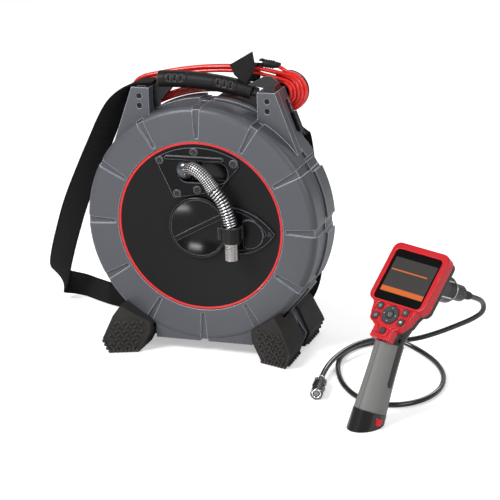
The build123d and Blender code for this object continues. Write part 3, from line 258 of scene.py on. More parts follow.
@kept
def moulded(name, colour, rough=0.45, grain=0.00006, fine=1400.0, edge_light=1.9, edge_size=0.0008, coat=0.0,
            gloss=0.4):
    """Moulded plastic: fine grain, faint broad mottling, and edges painted lighter as a painted highlight."""
    f = Finish(name, Specular_IOR_Level=gloss, Coat_Weight=coat)
    place = f.place()
    speck = f.noise(place, fine, 3.0)
    broad = f.noise(place, 16.0, 3.0)
    normal, edge = f.edges(edge_size)
    base = f.between(broad, colour, 0.92, 1.09)
    flecked = f.mix(f.soft(speck, 0.55, 0.8) * 0.25, base, shade(colour, 1.35))
    # edges painted lighter: a painted highlight along every edge
    f.set("Base Color", f.mix(edge * 0.9, flecked, shade(colour, edge_light)))
    f.set("Roughness", rough - 0.05 + broad * 0.1 - edge * 0.08)
    f.bump(speck, grain, 0.6, normal)
    return f.material


@kept
def rubbered(name, colour, rough=0.62, grain=0.00012, fine=900.0, edge_size=0.0009, edge_light=2.2):
    """Moulded rubber: matt with dusty patches, and its edges painted lighter as a painted highlight."""
    f = Finish(name, Specular_IOR_Level=0.2)
    place = f.place()
    speck = f.noise(place, fine, 4.0, 0.6)
    dust = f.noise(place, 30.0, 5.0, 0.62)
    normal, edge = f.edges(edge_size)
    base = f.between(f.soft(dust, 0.4, 0.75), colour, 0.85, 1.25)
    # edges painted lighter: a painted highlight; the dust noise above is the rubber's own patchy tone
    f.set("Base Color", f.mix(edge * 0.6, base, shade(colour, edge_light)))
    f.set("Roughness", rough + dust * 0.15 - edge * 0.1)
    f.bump(speck, grain, 0.7, normal)
    return f.material


@kept
def metal(name, colour, rough=0.25, streak=0.06, edge_size=0.0004):
    """Machined or plated metal with fine turning marks."""
    f = Finish(name, Metallic=1.0)
    place = f.place()
    cloud = f.noise(place, 60.0, 4.0)
    lines = f.noise(f.node("ShaderNodeMapping", {}, {"Vector": place, "Scale": (90.0, 90.0, 2600.0)}), 1.0, 3.0)
    normal, edge = f.edges(edge_size)
    base = f.between(cloud, colour, 0.86, 1.08)
    # edges painted a little lighter: a painted highlight
    f.set("Base Color", f.mix(edge * 0.6, base, shade(colour, 1.3)))
    f.set("Roughness", rough - 0.05 + lines * streak * 2 + cloud * 0.06)
    f.bump(lines, 0.00003, 0.35, normal)
    return f.material


@kept
def jacketed(name, colour, rough):
    """A cord's extruded jacket, smooth along its length."""
    f = Finish(name, Coat_Weight=0.25)
    place = f.place()
    cloud = f.noise(place, 45.0, 3.0)
    f.set("Base Color", f.between(cloud, colour, 0.82, 1.12))
    f.set("Roughness", rough - 0.06 + cloud * 0.12)
    f.bump(f.noise(place, 1100.0, 2.0), 0.00005, 0.5)
    return f.material


@kept
def woven(name, colour, rib, width):
    """Webbing: ribs across, fine warp lines along, and a firmer edge."""
    f = Finish(name, Specular_IOR_Level=0.1)
    across, along = f.uv()
    slant, thread, rim_in, rim_out = 0.18, 0.0015, 0.0034, 0.0022
    ribs = f.sum("SINE", (along + across * slant) * (FULL_TURN / rib)) * 0.5 + 0.5
    warp = f.sum("SINE", across * (FULL_TURN / thread)) * 0.5 + 0.5
    height = ribs * 0.7 + ribs * warp * 0.3
    fuzz = f.noise(f.place(), 800.0, 4.0)
    rim = f.soft(f.sum("ABSOLUTE", across - width / 2), width / 2 - rim_in, width / 2 - rim_out)
    # the colour follows the ribs' height: painted shade in the grooves and a painted highlight on the crests; the fuzz
    # is random tone
    base = f.between(height * 0.75 + fuzz * 0.25, colour, 0.12, 3.8)
    f.set("Base Color", f.mix(rim * 0.5, base, shade(colour, 0.7)))
    f.set("Roughness", 0.78 + fuzz * 0.15)
    f.bump(height + fuzz * 0.3, 0.00028, 0.9)
    return f.material


@kept
def looped(name, colour):
    """Hook-and-loop tape: a dense short pile."""
    f = Finish(name, Specular_IOR_Level=0.1)
    place = f.place()
    pile = f.noise(place, 620.0, 5.0, 0.7)
    rows = f.node("ShaderNodeTexVoronoi", {}, {"Vector": place, "Scale": 780.0})
    f.set("Base Color", f.between(pile, colour, 0.25, 3.2))
    f.set("Roughness", 0.9)
    f.bump(pile + rows * 0.6, 0.0004, 0.9)
    return f.material


@kept
def clear(name, tint, rough, alpha):
    """Clear plastic, faintly smeared."""
    f = Finish(name, Alpha=alpha)
    smear = f.noise(f.place(), 70.0, 3.0)
    f.set("Base Color", f.between(smear, tint, 0.9, 1.1))
    f.set("Roughness", rough + smear * 0.03)
    return f.material


# ---------------------------------------------------------------- making pieces
def pick(*objects):
    """Only these objects are selected, the first one active."""
    if bpy.context.object and bpy.context.object.mode != "OBJECT":
        bpy.ops.object.mode_set(mode="OBJECT")
    bpy.ops.object.select_all(action="DESELECT")
    for thing in objects:
        thing.select_set(True)
    if objects:
        bpy.context.view_layer.objects.active = objects[0]


def settle(piece):
    """Puts a piece's place into its mesh."""
    pick(piece)
    bpy.ops.object.transform_apply(location=True, rotation=True, scale=True)
    return piece


def wear(piece, body, material, replaces=()):
    """A finished piece gets its finish, its body and the nodes that it stands for."""
    piece.data.materials.clear()
    piece.data.materials.append(material)
    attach(piece, body)
    if replaces:
        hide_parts(*replaces)
    return piece


def joined(name, pieces):
    """Several pieces made one."""
    pick(*pieces)
    if len(pieces) > 1:
        bpy.ops.object.join()
    piece = bpy.context.object
    piece.name = piece.data.name = name
    return piece


def smooth(piece, angle=35.0):
    """Smooth shading over edges flatter than an angle in degrees."""
    pick(piece)
    bpy.ops.object.shade_smooth_by_angle(angle=math.radians(angle))
    return piece


def rounded_edges(piece, width, segments=2, angle=30.0):
    """Rounds the edges sharper than an angle in degrees."""
    bevel = piece.modifiers.new("edges", "BEVEL")
    bevel.width, bevel.segments, bevel.limit_method = width, segments, "ANGLE"
    bevel.angle_limit = math.radians(angle)
    pick(piece)
    bpy.ops.object.modifier_apply(modifier=bevel.name)
    return piece


def fresh(name, add, **settings):
    """A new primitive, with its name."""
    pick()
    add(**settings)
    piece = bpy.context.object
    piece.name = piece.data.name = name
    return piece


def placed(name, data):
    """A new object of a mesh, curve or camera."""
    piece = bpy.data.objects.new(name, data)
    bpy.context.collection.objects.link(piece)
    return piece


def block(name, size, place, bevel=0.0, segments=2):
    """A block with rounded edges; place is its matrix."""
    piece = fresh(name, bpy.ops.mesh.primitive_cube_add, size=1)
    piece.scale = size
    settle(piece)
    if bevel:
        rounded_edges(piece, bevel, segments)
    piece.matrix_world = place
    return settle(piece)


def round_bar(name, radius, length, place, vertices, bevel=0.0, tip=None):
    """A round bar or cone along its matrix's z axis, starting at the matrix's place."""
    piece = fresh(name, bpy.ops.mesh.primitive_cone_add, vertices=vertices, radius1=radius,
                  radius2=radius if tip is None else tip, depth=length, location=(0, 0, length / 2))
    settle(piece)
    if bevel:
        rounded_edges(piece, bevel, 3, 50)
    piece.matrix_world = place
    return settle(piece)


def hoop(name, radius, wire, place, around, section):
    """A ring of round wire in its matrix's xy plane."""
    piece = fresh(name, bpy.ops.mesh.primitive_torus_add, major_radius=radius, minor_radius=wire,
                  major_segments=around, minor_segments=section)
    piece.matrix_world = place
    return settle(piece)


def ball(name, place, scale, radius, segments, rings):
    """A ball, stretched by its scale."""
    piece = fresh(name, bpy.ops.mesh.primitive_uv_sphere_add, segments=segments, ring_count=rings, radius=radius)
    piece.scale, piece.location = scale, place
    return settle(piece)


def frame_at(place, out):
    """A matrix at a place whose z axis points out, which isn't straight up, and whose x axis is level."""
    z = Vector(out).normalized()
    x = Vector((0, 0, 1)).cross(z).normalized()
    return moved(*place) @ Matrix((x, z.cross(x), z)).transposed().to_4x4()


def nurbs(name, points, width):
    """A round cord along one smooth spline."""
    curve = bpy.data.curves.new(name, "CURVE")
    curve.dimensions = "3D"
    spline = curve.splines.new("NURBS")
    spline.points.add(len(points) - 1)
    for dot, place in zip(spline.points, points):
        dot.co = (*place, 1)
    spline.order_u = 3
    spline.use_endpoint_u = True
    spline.resolution_u = 8
    curve.bevel_depth = width / 2
    curve.bevel_resolution = 4
    curve.use_fill_caps = True
    return placed(name, curve)


def smooth_line(points, steps=6):
    """Points along a smooth line that passes through the given ones."""
    line = []
    full = [points[0] * 2 - points[1], *points, points[-1] * 2 - points[-2]]
    for a, b, c, d in zip(full, full[1:], full[2:], full[3:]):
        for i in range(steps):
            t = i / steps
            line.append(0.5 * (2 * b + (c - a) * t + (2 * a - 5 * b + 4 * c - d) * t ** 2
                               + (3 * b - a - 3 * c + d) * t ** 3))
    line.append(points[-1])
    return line


def run_along(line):
    """The length run at each point of a line."""
    run = [0.0]
    for a, b in zip(line, line[1:]):
        run.append(run[-1] + (b - a).length)
    return run


def headings(line):
    """The direction of a line at each of its points."""
    return [(line[min(i + 1, len(line) - 1)] - line[max(i - 1, 0)]).normalized() for i in range(len(line))]


def skin(name, rings, uv_at, caps=True):
    """A tube of faces between rings of points; uv_at gives the UV of a point by its number and its ring's."""
    shape = bmesh.new()
    layer = shape.loops.layers.uv.new("along")
    rings = [[shape.verts.new(place) for place in ring] for ring in rings]
    for i, (near, far) in enumerate(zip(rings, rings[1:])):
        for k in range(len(near)):
            m = (k + 1) % len(near)
            face = shape.faces.new((near[k], near[m], far[m], far[k]))
            for loop, corner in zip(face.loops, ((k, i), (k + 1, i), (k + 1, i + 1), (k, i + 1))):
                loop[layer].uv = uv_at(*corner)
    if caps:
        shape.faces.new(rings[0][::-1])
        shape.faces.new(rings[-1])
    bmesh.ops.recalc_face_normals(shape, faces=shape.faces)
    mesh = bpy.data.meshes.new(name)
    shape.to_mesh(mesh)
    shape.free()
    return smooth(placed(name, mesh), 50)


def band(name, line, widths, thick, size):
    """A flat band along a line, with a UV map in metres: across, then along."""
    edges = (-0.5, -0.46, 0.46, 0.5)
    profile = [(a, -0.5) for a in edges] + [(a, 0.5) for a in reversed(edges)]
    rings, run = [], run_along(line)
    for place, along, width in zip(line, headings(line), widths):
        wide = (width - along * width.dot(along)).normalized()
        deep = along.cross(wide)
        rings.append([place + wide * a * size + deep * b * thick * (0.7 if abs(a) == 0.5 else 1.0)
                      for a, b in profile])
    return skin(name, rings, lambda k, i: ((profile[k % len(profile)][0] + 0.5) * size, run[i]))


def carried(line, ways):
    """For each way along a line, two directions square to it, carried along without a twist."""
    along = (line[1] - line[0]).normalized()
    across = along.orthogonal().normalized()
    for way in ways:
        across = along.rotation_difference(way) @ across
        along = way
        yield across, along.cross(across)


def hose(name, line, radius, sides=32, caps=True):
    """A round hose along a line; radius is a number or one for each point. Its UV map: share round, metres along."""
    run = run_along(line)
    radii = radius if isinstance(radius, list) else [radius] * len(line)
    rings = [[place + (across * math.cos(a) + other * math.sin(a)) * size
              for a in (FULL_TURN * k / sides for k in range(sides))]
             for place, size, (across, other) in zip(line, radii, carried(line, headings(line)))]
    return skin(name, rings, lambda k, i: (k / sides, run[i]), caps)


def finish_nodes(material, *names):
    """A better finish on CAD nodes."""
    for name in names:
        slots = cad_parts[name].data.materials
        slots.clear()
        slots.append(material)


# ---------------------------------------------------------------- stage
class InspectStage(bpy.types.Operator):
    """Floor, lamps and camera"""
    bl_idname = "inspect.stage"
    bl_label = "Stage"

    def execute(self, context):
        scene, studio = context.scene, context.scene.studio_settings
        floor = fresh("floor", bpy.ops.mesh.primitive_plane_add, size=14, location=(0, 0, -0.0004))
        f = Finish("floor_paper", Roughness=0.9)
        seen = f.node("ShaderNodeLightPath", {}, {}, "Is Camera Ray")
        f.set("Base Color", f.mix(f.noise(f.place(), 3.0), (0.80, 0.80, 0.80), (0.82, 0.82, 0.82)))
        glow = f.node("ShaderNodeEmission", {}, {"Color": (1, 1, 1, 1), "Strength": seen * 0.42})
        both = f.node("ShaderNodeAddShader", {}, {0: Value(f, f.shader.outputs[0]), 1: glow})
        f.feed(f.tree.nodes["Material Output"].inputs["Surface"], both)
        floor.data.materials.append(f.material)

        # the world is white to the eye and gives a third of that as light
        scene.world = bpy.data.worlds.new("studio")
        scene.world.use_nodes = True
        tree = scene.world.node_tree
        path = tree.nodes.new("ShaderNodeLightPath")
        most = tree.nodes.new("ShaderNodeMath")
        most.operation = "MAXIMUM"
        tree.links.new(path.outputs["Is Camera Ray"], most.inputs[0])
        most.inputs[1].default_value = 0.34
        background = tree.nodes["Background"]
        tree.links.new(most.outputs[0], background.inputs["Strength"])
        background.inputs["Color"].default_value = (1, 1, 1, 1)

        middle, face = (0.05, 0, 0.16), (0, -0.05, AXIS_Z)          # what the softboxes and the cards face
        self.lamp("key_softbox", (-1.5, -2.1, 2.5), middle, studio.key_power, (1.3, 1.3))
        self.lamp("fill_softbox", (2.4, -1.6, 1.5), middle, studio.fill_power, (1.6, 1.6))
        self.lamp("back_softbox", (0.4, 2.2, 2.0), middle, studio.fill_power, (1.5, 1.5))
        for place, size, share in (((-0.40, -1.52, 0.29), (0.34, 0.12), 1.0),
                                   ((-0.03, -0.28, 0.02), (0.07, 0.02), 0.03)):
            card = self.lamp("gloss_card", place, face, studio.gloss_power * share, size)
            card.visible_camera = card.visible_diffuse = False

        eye = bpy.data.cameras.new("camera")
        eye.sensor_width, eye.lens, eye.clip_end = 36.0, studio.lens, 50.0
        azimuth, height, roll = 19.113, 17.31, -1.745               # the way the camera looks, in degrees
        scene.camera = placed("camera", eye)
        scene.camera.matrix_world = (moved(0.84455, -2.28019, 0.88710) @ rotated(azimuth) @ rotated(90 - height, "X")
                                     @ rotated(roll))
        scene.view_settings.view_transform = "Standard"
        return {"FINISHED"}

    @staticmethod
    def lamp(name, place, aim, power, size):
        """A lit rectangle that faces its aim."""
        pick()
        bpy.ops.object.light_add(type="AREA", location=place)
        lamp = bpy.context.object
        lamp.name = name
        lamp.data.shape = "RECTANGLE"
        lamp.data.size, lamp.data.size_y = size
        lamp.data.energy = power
        lamp.rotation_euler = (Vector(aim) - lamp.location).to_track_quat("-Z", "Y").to_euler()
        return lamp


# ---------------------------------------------------------------- cords
# the imager cable's middle line from the boot to the imager head, lying on the floor between
IMAGER_ROUTE = (
    (355.8, -56.6, 115.7), (365.2, -32.9, 104.3), (372, -12, 93), (371, -2, 76), (356, 6, 62), (330, 16, 46),
    (300, 30, 28), (268, 44, 12), (236, 50, 4.7), (204, 36, 3.7), (186, 6, 3.7), (184, -34, 3.7), (196, -78, 3.7),
    (216, -122, 3.7), (247, -160, 3.7), (288, -174, 3.7), (322, -152, 3.7), (338, -110, 3.7), (334, -62, 3.7),
    (313, -14, 3.7), (281, 25, 3.7), (246, 38, 12.8), (216, 24, 15.2), (194, -8, 14.2), (182, -50, 10.8),
    (181, -92, 8.1), (187, -126, 8.1))


class InspectImagerCable(bpy.types.Operator):
    """Stiff cable of the hand unit, with the imager head on its end"""
    bl_idname = "inspect.imager_cable"
    bl_label = "Imager cable"

    def execute(self, context):
        width = context.scene.cord_settings.imager_width
        points = [at(*p) for p in IMAGER_ROUTE]
        cable = nurbs("imager_cable_run", points, width)
        jacket = moulded("imager_jacket", BLACK, 0.24, 0.00012, 900, 1.0, 0.0002, 0.35)
        wear(cable, "display_unit", jacket, ["imager_cable"])
        finish_nodes(moulded("imager_black", BLACK, 0.24, 0.00003, 900, 26.0, 0.0006, 0.2), "imager_head")
        finish_nodes(clear("imager_glass", (0.012, 0.013, 0.015), 0.05, 0.9), "imager_lens")

        place = frame_at(points[-1], (points[-1] - points[-2]) * Vector((1, 1, 0)))
        face = 0.0416                           # how far the imager head's face is from the cable's end
        rings = [hoop("collar_ring", 0.0078, 0.0011, place @ moved(0, 0, 0.0010), 64, 10),
                 hoop("cable_ring", 0.0051, 0.0004, place @ moved(0, 0, -0.0088), 48, 8),
                 hoop("face_ring", 0.0052, 0.0010, place @ moved(0, 0, face), 64, 10)]
        rings += [block("mark", (0.0022, 0.0009, 0.0006), place @ rotated(angle) @ moved(0, 0.0070, face + 0.0003),
                        0.0002) for angle in (-50, 0, 50)]
        trim = wear(smooth(joined("imager_rings", rings)), "display_unit",
                    metal("ring_silver", (0.86, 0.86, 0.86), 0.18, 0.03))
        pupil = wear(round_bar("imager_pupil", 0.0031, 0.0005, place @ moved(0, 0, face - 0.0001), 40, 0.0001),
                     "display_unit", moulded("pupil_grey", (0.22, 0.22, 0.22), 0.2, 0.00001))
        lugs = [block("lug", (0.0042, 0.0026, 0.0075), place @ rotated(60 * i) @ moved(0, 0.0072, 0.0185), 0.0006)
                for i in range(6)]
        grips = wear(joined("imager_lugs", lugs), "display_unit", moulded("imager_black"))
        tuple(points[0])
        return {"FINISHED"}


# the stored cord's outline round the two hooks, and the outline of the space inside it
HANK_OUT = {"left": (-95, 161, 24), "right": (101, 169, 28), "top": 201, "low": 165}
HANK_IN = {"left": (-95, 161, 13), "right": (94, 167, 7.5), "top": 190, "low": 176}
LOWER, RIGHT, TOP = 0.30, 0.5, 0.80     # shares of a turn at which the lower run, right bend and top run end
HANK_ROWS = ((38.6, 8.2), (33.0, 8.3), (38.5, 2.8), (33.0, 2.7), (33.0, 2.7))   # depth and inset of each turn
HANK_FAN = ((32.2, 22.6), (34.0, 17.7), (35.8, 12.8), (37.6, 7.9), (39.4, 3.0))     # and at the fan's middle
FAN_MIDDLE, FAN_HALF = (LOWER + RIGHT) / 2 + 0.01, 0.19         # where the turns fan out, as shares of a turn
# the lead from the rear cover up to the hank, and the cord's end at its connector
LEAD = ((0, 49, 56), (0, 49, 76), (-6, 48.5, 108), (-4, 49, 140), (10, 47, 163), (34, 41.5, 167.5))
CORD_END = ((94, 33.5, 200.6), (84, 35, 203.6))


def arched(x, ends, middle):
    """Height at x of an arch through its two ends and its middle height at x = 0."""
    (x0, z0), (x1, z1) = ends
    bend = ((z0 - middle) * x1 - (z1 - middle) * x0) / (x0 * x0 * x1 - x1 * x1 * x0)
    slope = (z1 - middle - bend * x1 * x1) / x1
    return middle + slope * x + bend * x * x


def round_hank(outline, share):
    """A place on an outline: the lower run, the right bend, the top run and the left bend."""
    (x0, z0, r0), (x1, z1, r1) = outline["left"], outline["right"]
    if share < LOWER:
        x = x0 + (x1 - x0) * share / LOWER
        return x, arched(x, ((x0, z0 - r0), (x1, z1 - r1)), outline["low"])
    if share < RIGHT:
        a = math.pi * (share - LOWER) / (RIGHT - LOWER)
        return x1 + r1 * math.sin(a), z1 - r1 * math.cos(a)
    if share < TOP:
        x = x1 - (x1 - x0) * (share - RIGHT) / (TOP - RIGHT)
        return x, arched(x, ((x0, z0 + r0), (x1, z1 + r1)), outline["top"])
    a = math.pi * (share - TOP) / (1 - TOP)
    return x0 - r0 * math.sin(a), z0 + r0 * math.cos(a)


def hank_place(turn, share):
    """Where one turn of the stored cord lies at a share of its way round."""
    fanned = max(0.0, 1 - abs(share - FAN_MIDDLE) / FAN_HALF)
    fanned = fanned * fanned * (3 - 2 * fanned)
    deep, inset = (a + (b - a) * fanned for a, b in zip(HANK_ROWS[turn], HANK_FAN[turn]))
    (x0, z0), (x1, z1) = round_hank(HANK_OUT, share), round_hank(HANK_IN, share)
    part = inset / math.hypot(x1 - x0, z1 - z0)
    return x0 + (x1 - x0) * part, deep, z0 + (z1 - z0) * part


class InspectStoredCord(bpy.types.Operator):
    """Red interconnect cord wound round the two hooks, with its lead"""
    bl_idname = "inspect.stored_cord"
    bl_label = "Stored cord"

    def execute(self, context):
        width = context.scene.cord_settings.stored_width
        points = [on_case(*p) for p in LEAD]
        count, turns, start = 32, 4, 0.24           # points in a turn, whole turns, and the share the lead joins at
        for i in range(int(count * start), int(count * (turns + RIGHT)) + 1):
            turn, share = divmod(i / count, 1)
            now, after = (hank_place(min(int(turn) + k, turns), share) for k in (0, 1))
            blend = max(0.0, (share - TOP - 0.02) / (0.98 - TOP))
            points.append(on_case(*(a + (b - a) * blend for a, b in zip(now, after))))
        points += [on_case(*p) for p in CORD_END]
        cord = nurbs("interconnect_cord_run", points, width)
        wear(cord, "case", jacketed("red_cord", context.scene.cord_settings.cord_colour, 0.28),
             ["interconnect_cord", "cord_lead"])
        return {"FINISHED"}


# ---------------------------------------------------------------- case
class InspectCase(bpy.types.Operator):
    """Finishes of the case, legs, feet, screws, rear cover and axle"""
    bl_idname = "inspect.case"
    bl_label = "Case"

    def execute(self, context):
        case = context.scene.case_settings
        slate = moulded("case_slate", case.shell_colour, 0.42, 0.00007, 1300, 7.0, case.edge_size, 0.05)
        finish_nodes(slate, "housing_front", "housing_rear", "leg_frames")
        finish_nodes(moulded("cover_plastic", (0.05, 0.052, 0.058), 0.42), "rear_cover")
        finish_nodes(moulded("hook_plastic", BLACK, 0.4, gloss=0.25), "cord_hooks")
        finish_nodes(metal("black_screw", (0.022, 0.022, 0.023), 0.3), "housing_screws", "post_screws")
        finish_nodes(metal("axle_steel", (0.55, 0.55, 0.57), 0.25), "drum_axle", "drum_bearings")
        finish_nodes(metal("ring_copper", (0.75, 0.45, 0.22), 0.25), "slip_ring")
        finish_nodes(rubbered("foot_rubber", case.foot_colour), "foot_front_left", "foot_front_right",
                     "foot_rear_left", "foot_rear_right")
        return {"FINISHED"}


class InspectFootTreads(bpy.types.Operator):
    """Short raised bars on the feet's faces and studs round their soles"""
    bl_idname = "inspect.foot_treads"
    bl_label = "Foot treads"
    splay = math.radians(20.0)

    def execute(self, context):
        out = Vector((-math.sin(self.splay), -math.cos(self.splay), 0))
        # the bars are painted lighter than the feet, with lighter edges: a painted highlight on them
        rubber = rubbered("tread_rubber", shade(context.scene.case_settings.foot_colour, 1.5), 0.5,
                          edge_size=0.0006, edge_light=3.6)
        pieces = []
        for row in range(7):
            for column in range(8):
                x, z = 82.5 + column * 5.4 + (row % 2) * 2.4, 7.5 + row * 5.8
                if self.inside(x, z):
                    place = frame_at(self.face(x, z) + out * 0.0005, out) @ rotated(45 if (row + column) % 2 else -45)
                    pieces.append(block("bar", (0.0064, 0.0021, 0.0030), place, 0.0007))
        studs = [self.face(88.5 + 5 * i, 2.9) + out * 0.0014 for i in range(8)]
        studs += [self.face(x, z) + out * 0.0008 for x, z in ((126.4, 7), (128.6, 12.4), (130.6, 17.6))]
        studs += [at(126.4, -66 + 9 * i, 3.2) for i in range(6)]
        pieces += [ball("stud", place, (1, 1, 1.15), 0.0024, 12, 8) for place in studs]
        tread = wear(smooth(joined("foot_tread_front_right", pieces), 40), "case", rubber)
        for name, mirror in (("foot_tread_front_left", (-1, 1)), ("foot_tread_rear_right", (1, -1)),
                             ("foot_tread_rear_left", (-1, -1))):
            twin = placed(name, tread.data.copy())
            twin.data.transform(Matrix.Diagonal((mirror[0], mirror[1], 1, 1)))
            if mirror[0] * mirror[1] < 0:
                twin.data.flip_normals()
            wear(twin, "case", rubber)
        return {"FINISHED"}

    def face(self, x, z):
        """A place on the foot's front face."""
        return at(x, -77 + (132 - x) * math.tan(self.splay), z)

    @staticmethod
    def inside(x, z):
        """Whether a bar's place lies well inside the foot's face."""
        outer = 120 + z * 0.38 if z < 21 else 127 - (z - 21) * 0.45
        return max(81, 94 - z * 0.55) < x < outer and z < 46


class InspectPosts(bpy.types.Operator):
    """Rivets on the left post's outer side and the finish of the strap's fittings"""
    bl_idname = "inspect.posts"
    bl_label = "Posts"

    def execute(self, context):
        rivets = []
        for z in (160, 145, 121, 112):
            x = 99 + (177 - z) * 30 / 80            # the post's outer side leans out on its way down
            place = frame_at(on_case(-x, -9, z), (-0.93, 0, 0.35))
            rivets.append(round_bar("rivet", 0.0014, 0.0016, place, 16, 0.0004))
        wear(smooth(joined("post_rivets", rivets)), "case", metal("rivet_steel", (0.7, 0.7, 0.72), 0.25))
        finish_nodes(moulded("strap_plastic", (0.008, 0.008, 0.0085), 0.34, edge_light=16.0, gloss=0.3),
                     "strap_anchors")
        return {"FINISHED"}


class InspectHandle(bpy.types.Operator):
    """Rubber grip of the carrying handle with its two raised panel borders"""
    bl_idname = "inspect.handle"
    bl_label = "Handle"

    def execute(self, context):
        finish_nodes(moulded("handle_plastic", (0.007, 0.007, 0.0075), 0.38, edge_light=12.0, gloss=0.25),
                     "handle_core")
        # the grip rubber's edges, the panel borders' too, are painted much lighter: a painted highlight that outlines
        # them
        grip = rubbered("handle_rubber", (0.008, 0.0076, 0.0078), 0.42, 0.00006, 900, 0.0010, 48.0)
        finish_nodes(grip, "handle_grip")
        pieces = []
        for centre in (-41.5, 27.0):
            line = []
            for i in range(41):
                # a rounded oblong drawn on the grip's surface, by length along it and angle round it
                u, v = (math.copysign(abs(part) ** 0.45, part)
                        for part in (math.cos(FULL_TURN * i / 40), math.sin(FULL_TURN * i / 40)))
                x, angle = centre + u * 16.5, math.radians(30.0 + v * 42.0)
                rise = GRIP_Z - GRIP_SLOPE * x - GRIP_BOW * x * x
                line.append(on_case(x, GRIP_Y - math.cos(angle) * GRIP_R, rise + math.sin(angle) * GRIP_R))
            pieces.append(hose("panel_border", line, 0.0009, 8, False))
        wear(joined("grip_panel_borders", pieces), "case", grip)
        return {"FINISHED"}


# ---------------------------------------------------------------- drum
class InspectDrum(bpy.types.Operator):
    """Finishes of the drum's face, ring, knob and cable, rims on the knob and a bead round the clip's base"""
    bl_idname = "inspect.drum"
    bl_label = "Drum"

    def execute(self, context):
        case = context.scene.case_settings
        finish_nodes(jacketed("cable_jacket", (0.02, 0.02, 0.021), 0.35), "push_cable")
        finish_nodes(moulded("disc_charcoal", case.disc_colour, 0.5, 0.00005, 1500, 3.0, 0.0006, 0.0, 0.13),
                     "front_disc", "cable_drum")
        finish_nodes(moulded("ring_red", case.ring_colour, 0.4, 0.00003, 900, 1.3, 0.0006, 0.1, 0.3), "accent_ring")
        # the knob, guide plate, clip base and screws have their edges painted 70 to 110 times lighter: painted
        # highlights
        knob = moulded("knob_black", (0.003, 0.003, 0.0034), 0.16, 0.00001, 1500, 70.0, 0.0011, 0.0, 0.2)
        finish_nodes(knob, "lock_knob")
        finish_nodes(moulded("guide_black", JET, 0.36, 0.00003, 1500, 110.0, 0.0011, 0.0, 0.12), "guide_plate")
        base = moulded("clip_base_black", JET, 0.34, 0.00003, 1500, 110.0, 0.0012, 0.0, 0.12)
        finish_nodes(base, "clip_base")
        finish_nodes(moulded("port_black", (0.004, 0.004, 0.0045), 0.2, 0.00002, 1500, 12.0, 0.0009, 0.0, 0.3),
                     "cable_port")
        finish_nodes(moulded("guide_screw_black", (0.003, 0.003, 0.0032), 0.25, 0.00002, 1500, 80.0, 0.0006, 0.1, 0.2),
                     "guide_screws", "clip_screw")
        # two thin rims in the knob's finish, whose painted edge highlight shows them as bright lines
        rims = [hoop("rim", r, 0.0005, frame_at(on_case(0, y, 0), (0, -1, 0)), 96, 8)
                for r, y in ((0.0376, -48.0), (0.0405, -46.9))]
        wear(joined("knob_rims", rims), "lock_knob", knob)
        # a thin bead in the clip base's finish; its painted edge highlight shows it as a bright outline
        edge = smooth_line([on_case(x, -45.0, z) for x, z in (
            (53, 25), (65, 21), (77, 14.5), (86.5, 6), (92, -2), (92.2, -4.5), (86.5, -12), (77, -19.5), (65, -25.5),
            (53, -28.5))], 6)
        wear(hose("clip_base_bead", edge, 0.0006, 8), "drum", base)
        return {"FINISHED"}


SLEEVE_PATH = ((-10.5, -45, 77.5), (0.5, -57.5, 82.5), (15, -61.5, 75), (28.5, -61.5, 57))
SPRING_PATH = ((28.5, -61.5, 57), (39.8, -61.5, 43), (46.6, -61.5, 26), (50.5, -61.5, 10))


@kept
def braided(name, colour):
    """Woven steel sleeve: fine crossed strands."""
    f = Finish(name, Metallic=0.6)
    around, along = f.uv()
    pitch, strands = 0.0026, 18
    weave = f.soft(f.sum("SINE", along * (FULL_TURN / pitch)), -0.5, 0.4) * f.soft(
        f.sum("SINE", around * (FULL_TURN * strands)), -0.5, 0.4)
    # the colour follows the weave: painted shade between the strands and a painted highlight on their crests
    f.set("Base Color", f.between(weave, colour, 0.02, 1.5))
    f.set("Roughness", 0.48 - weave * 0.2)
    f.bump(weave, 0.00020, 0.7)
    return f.material


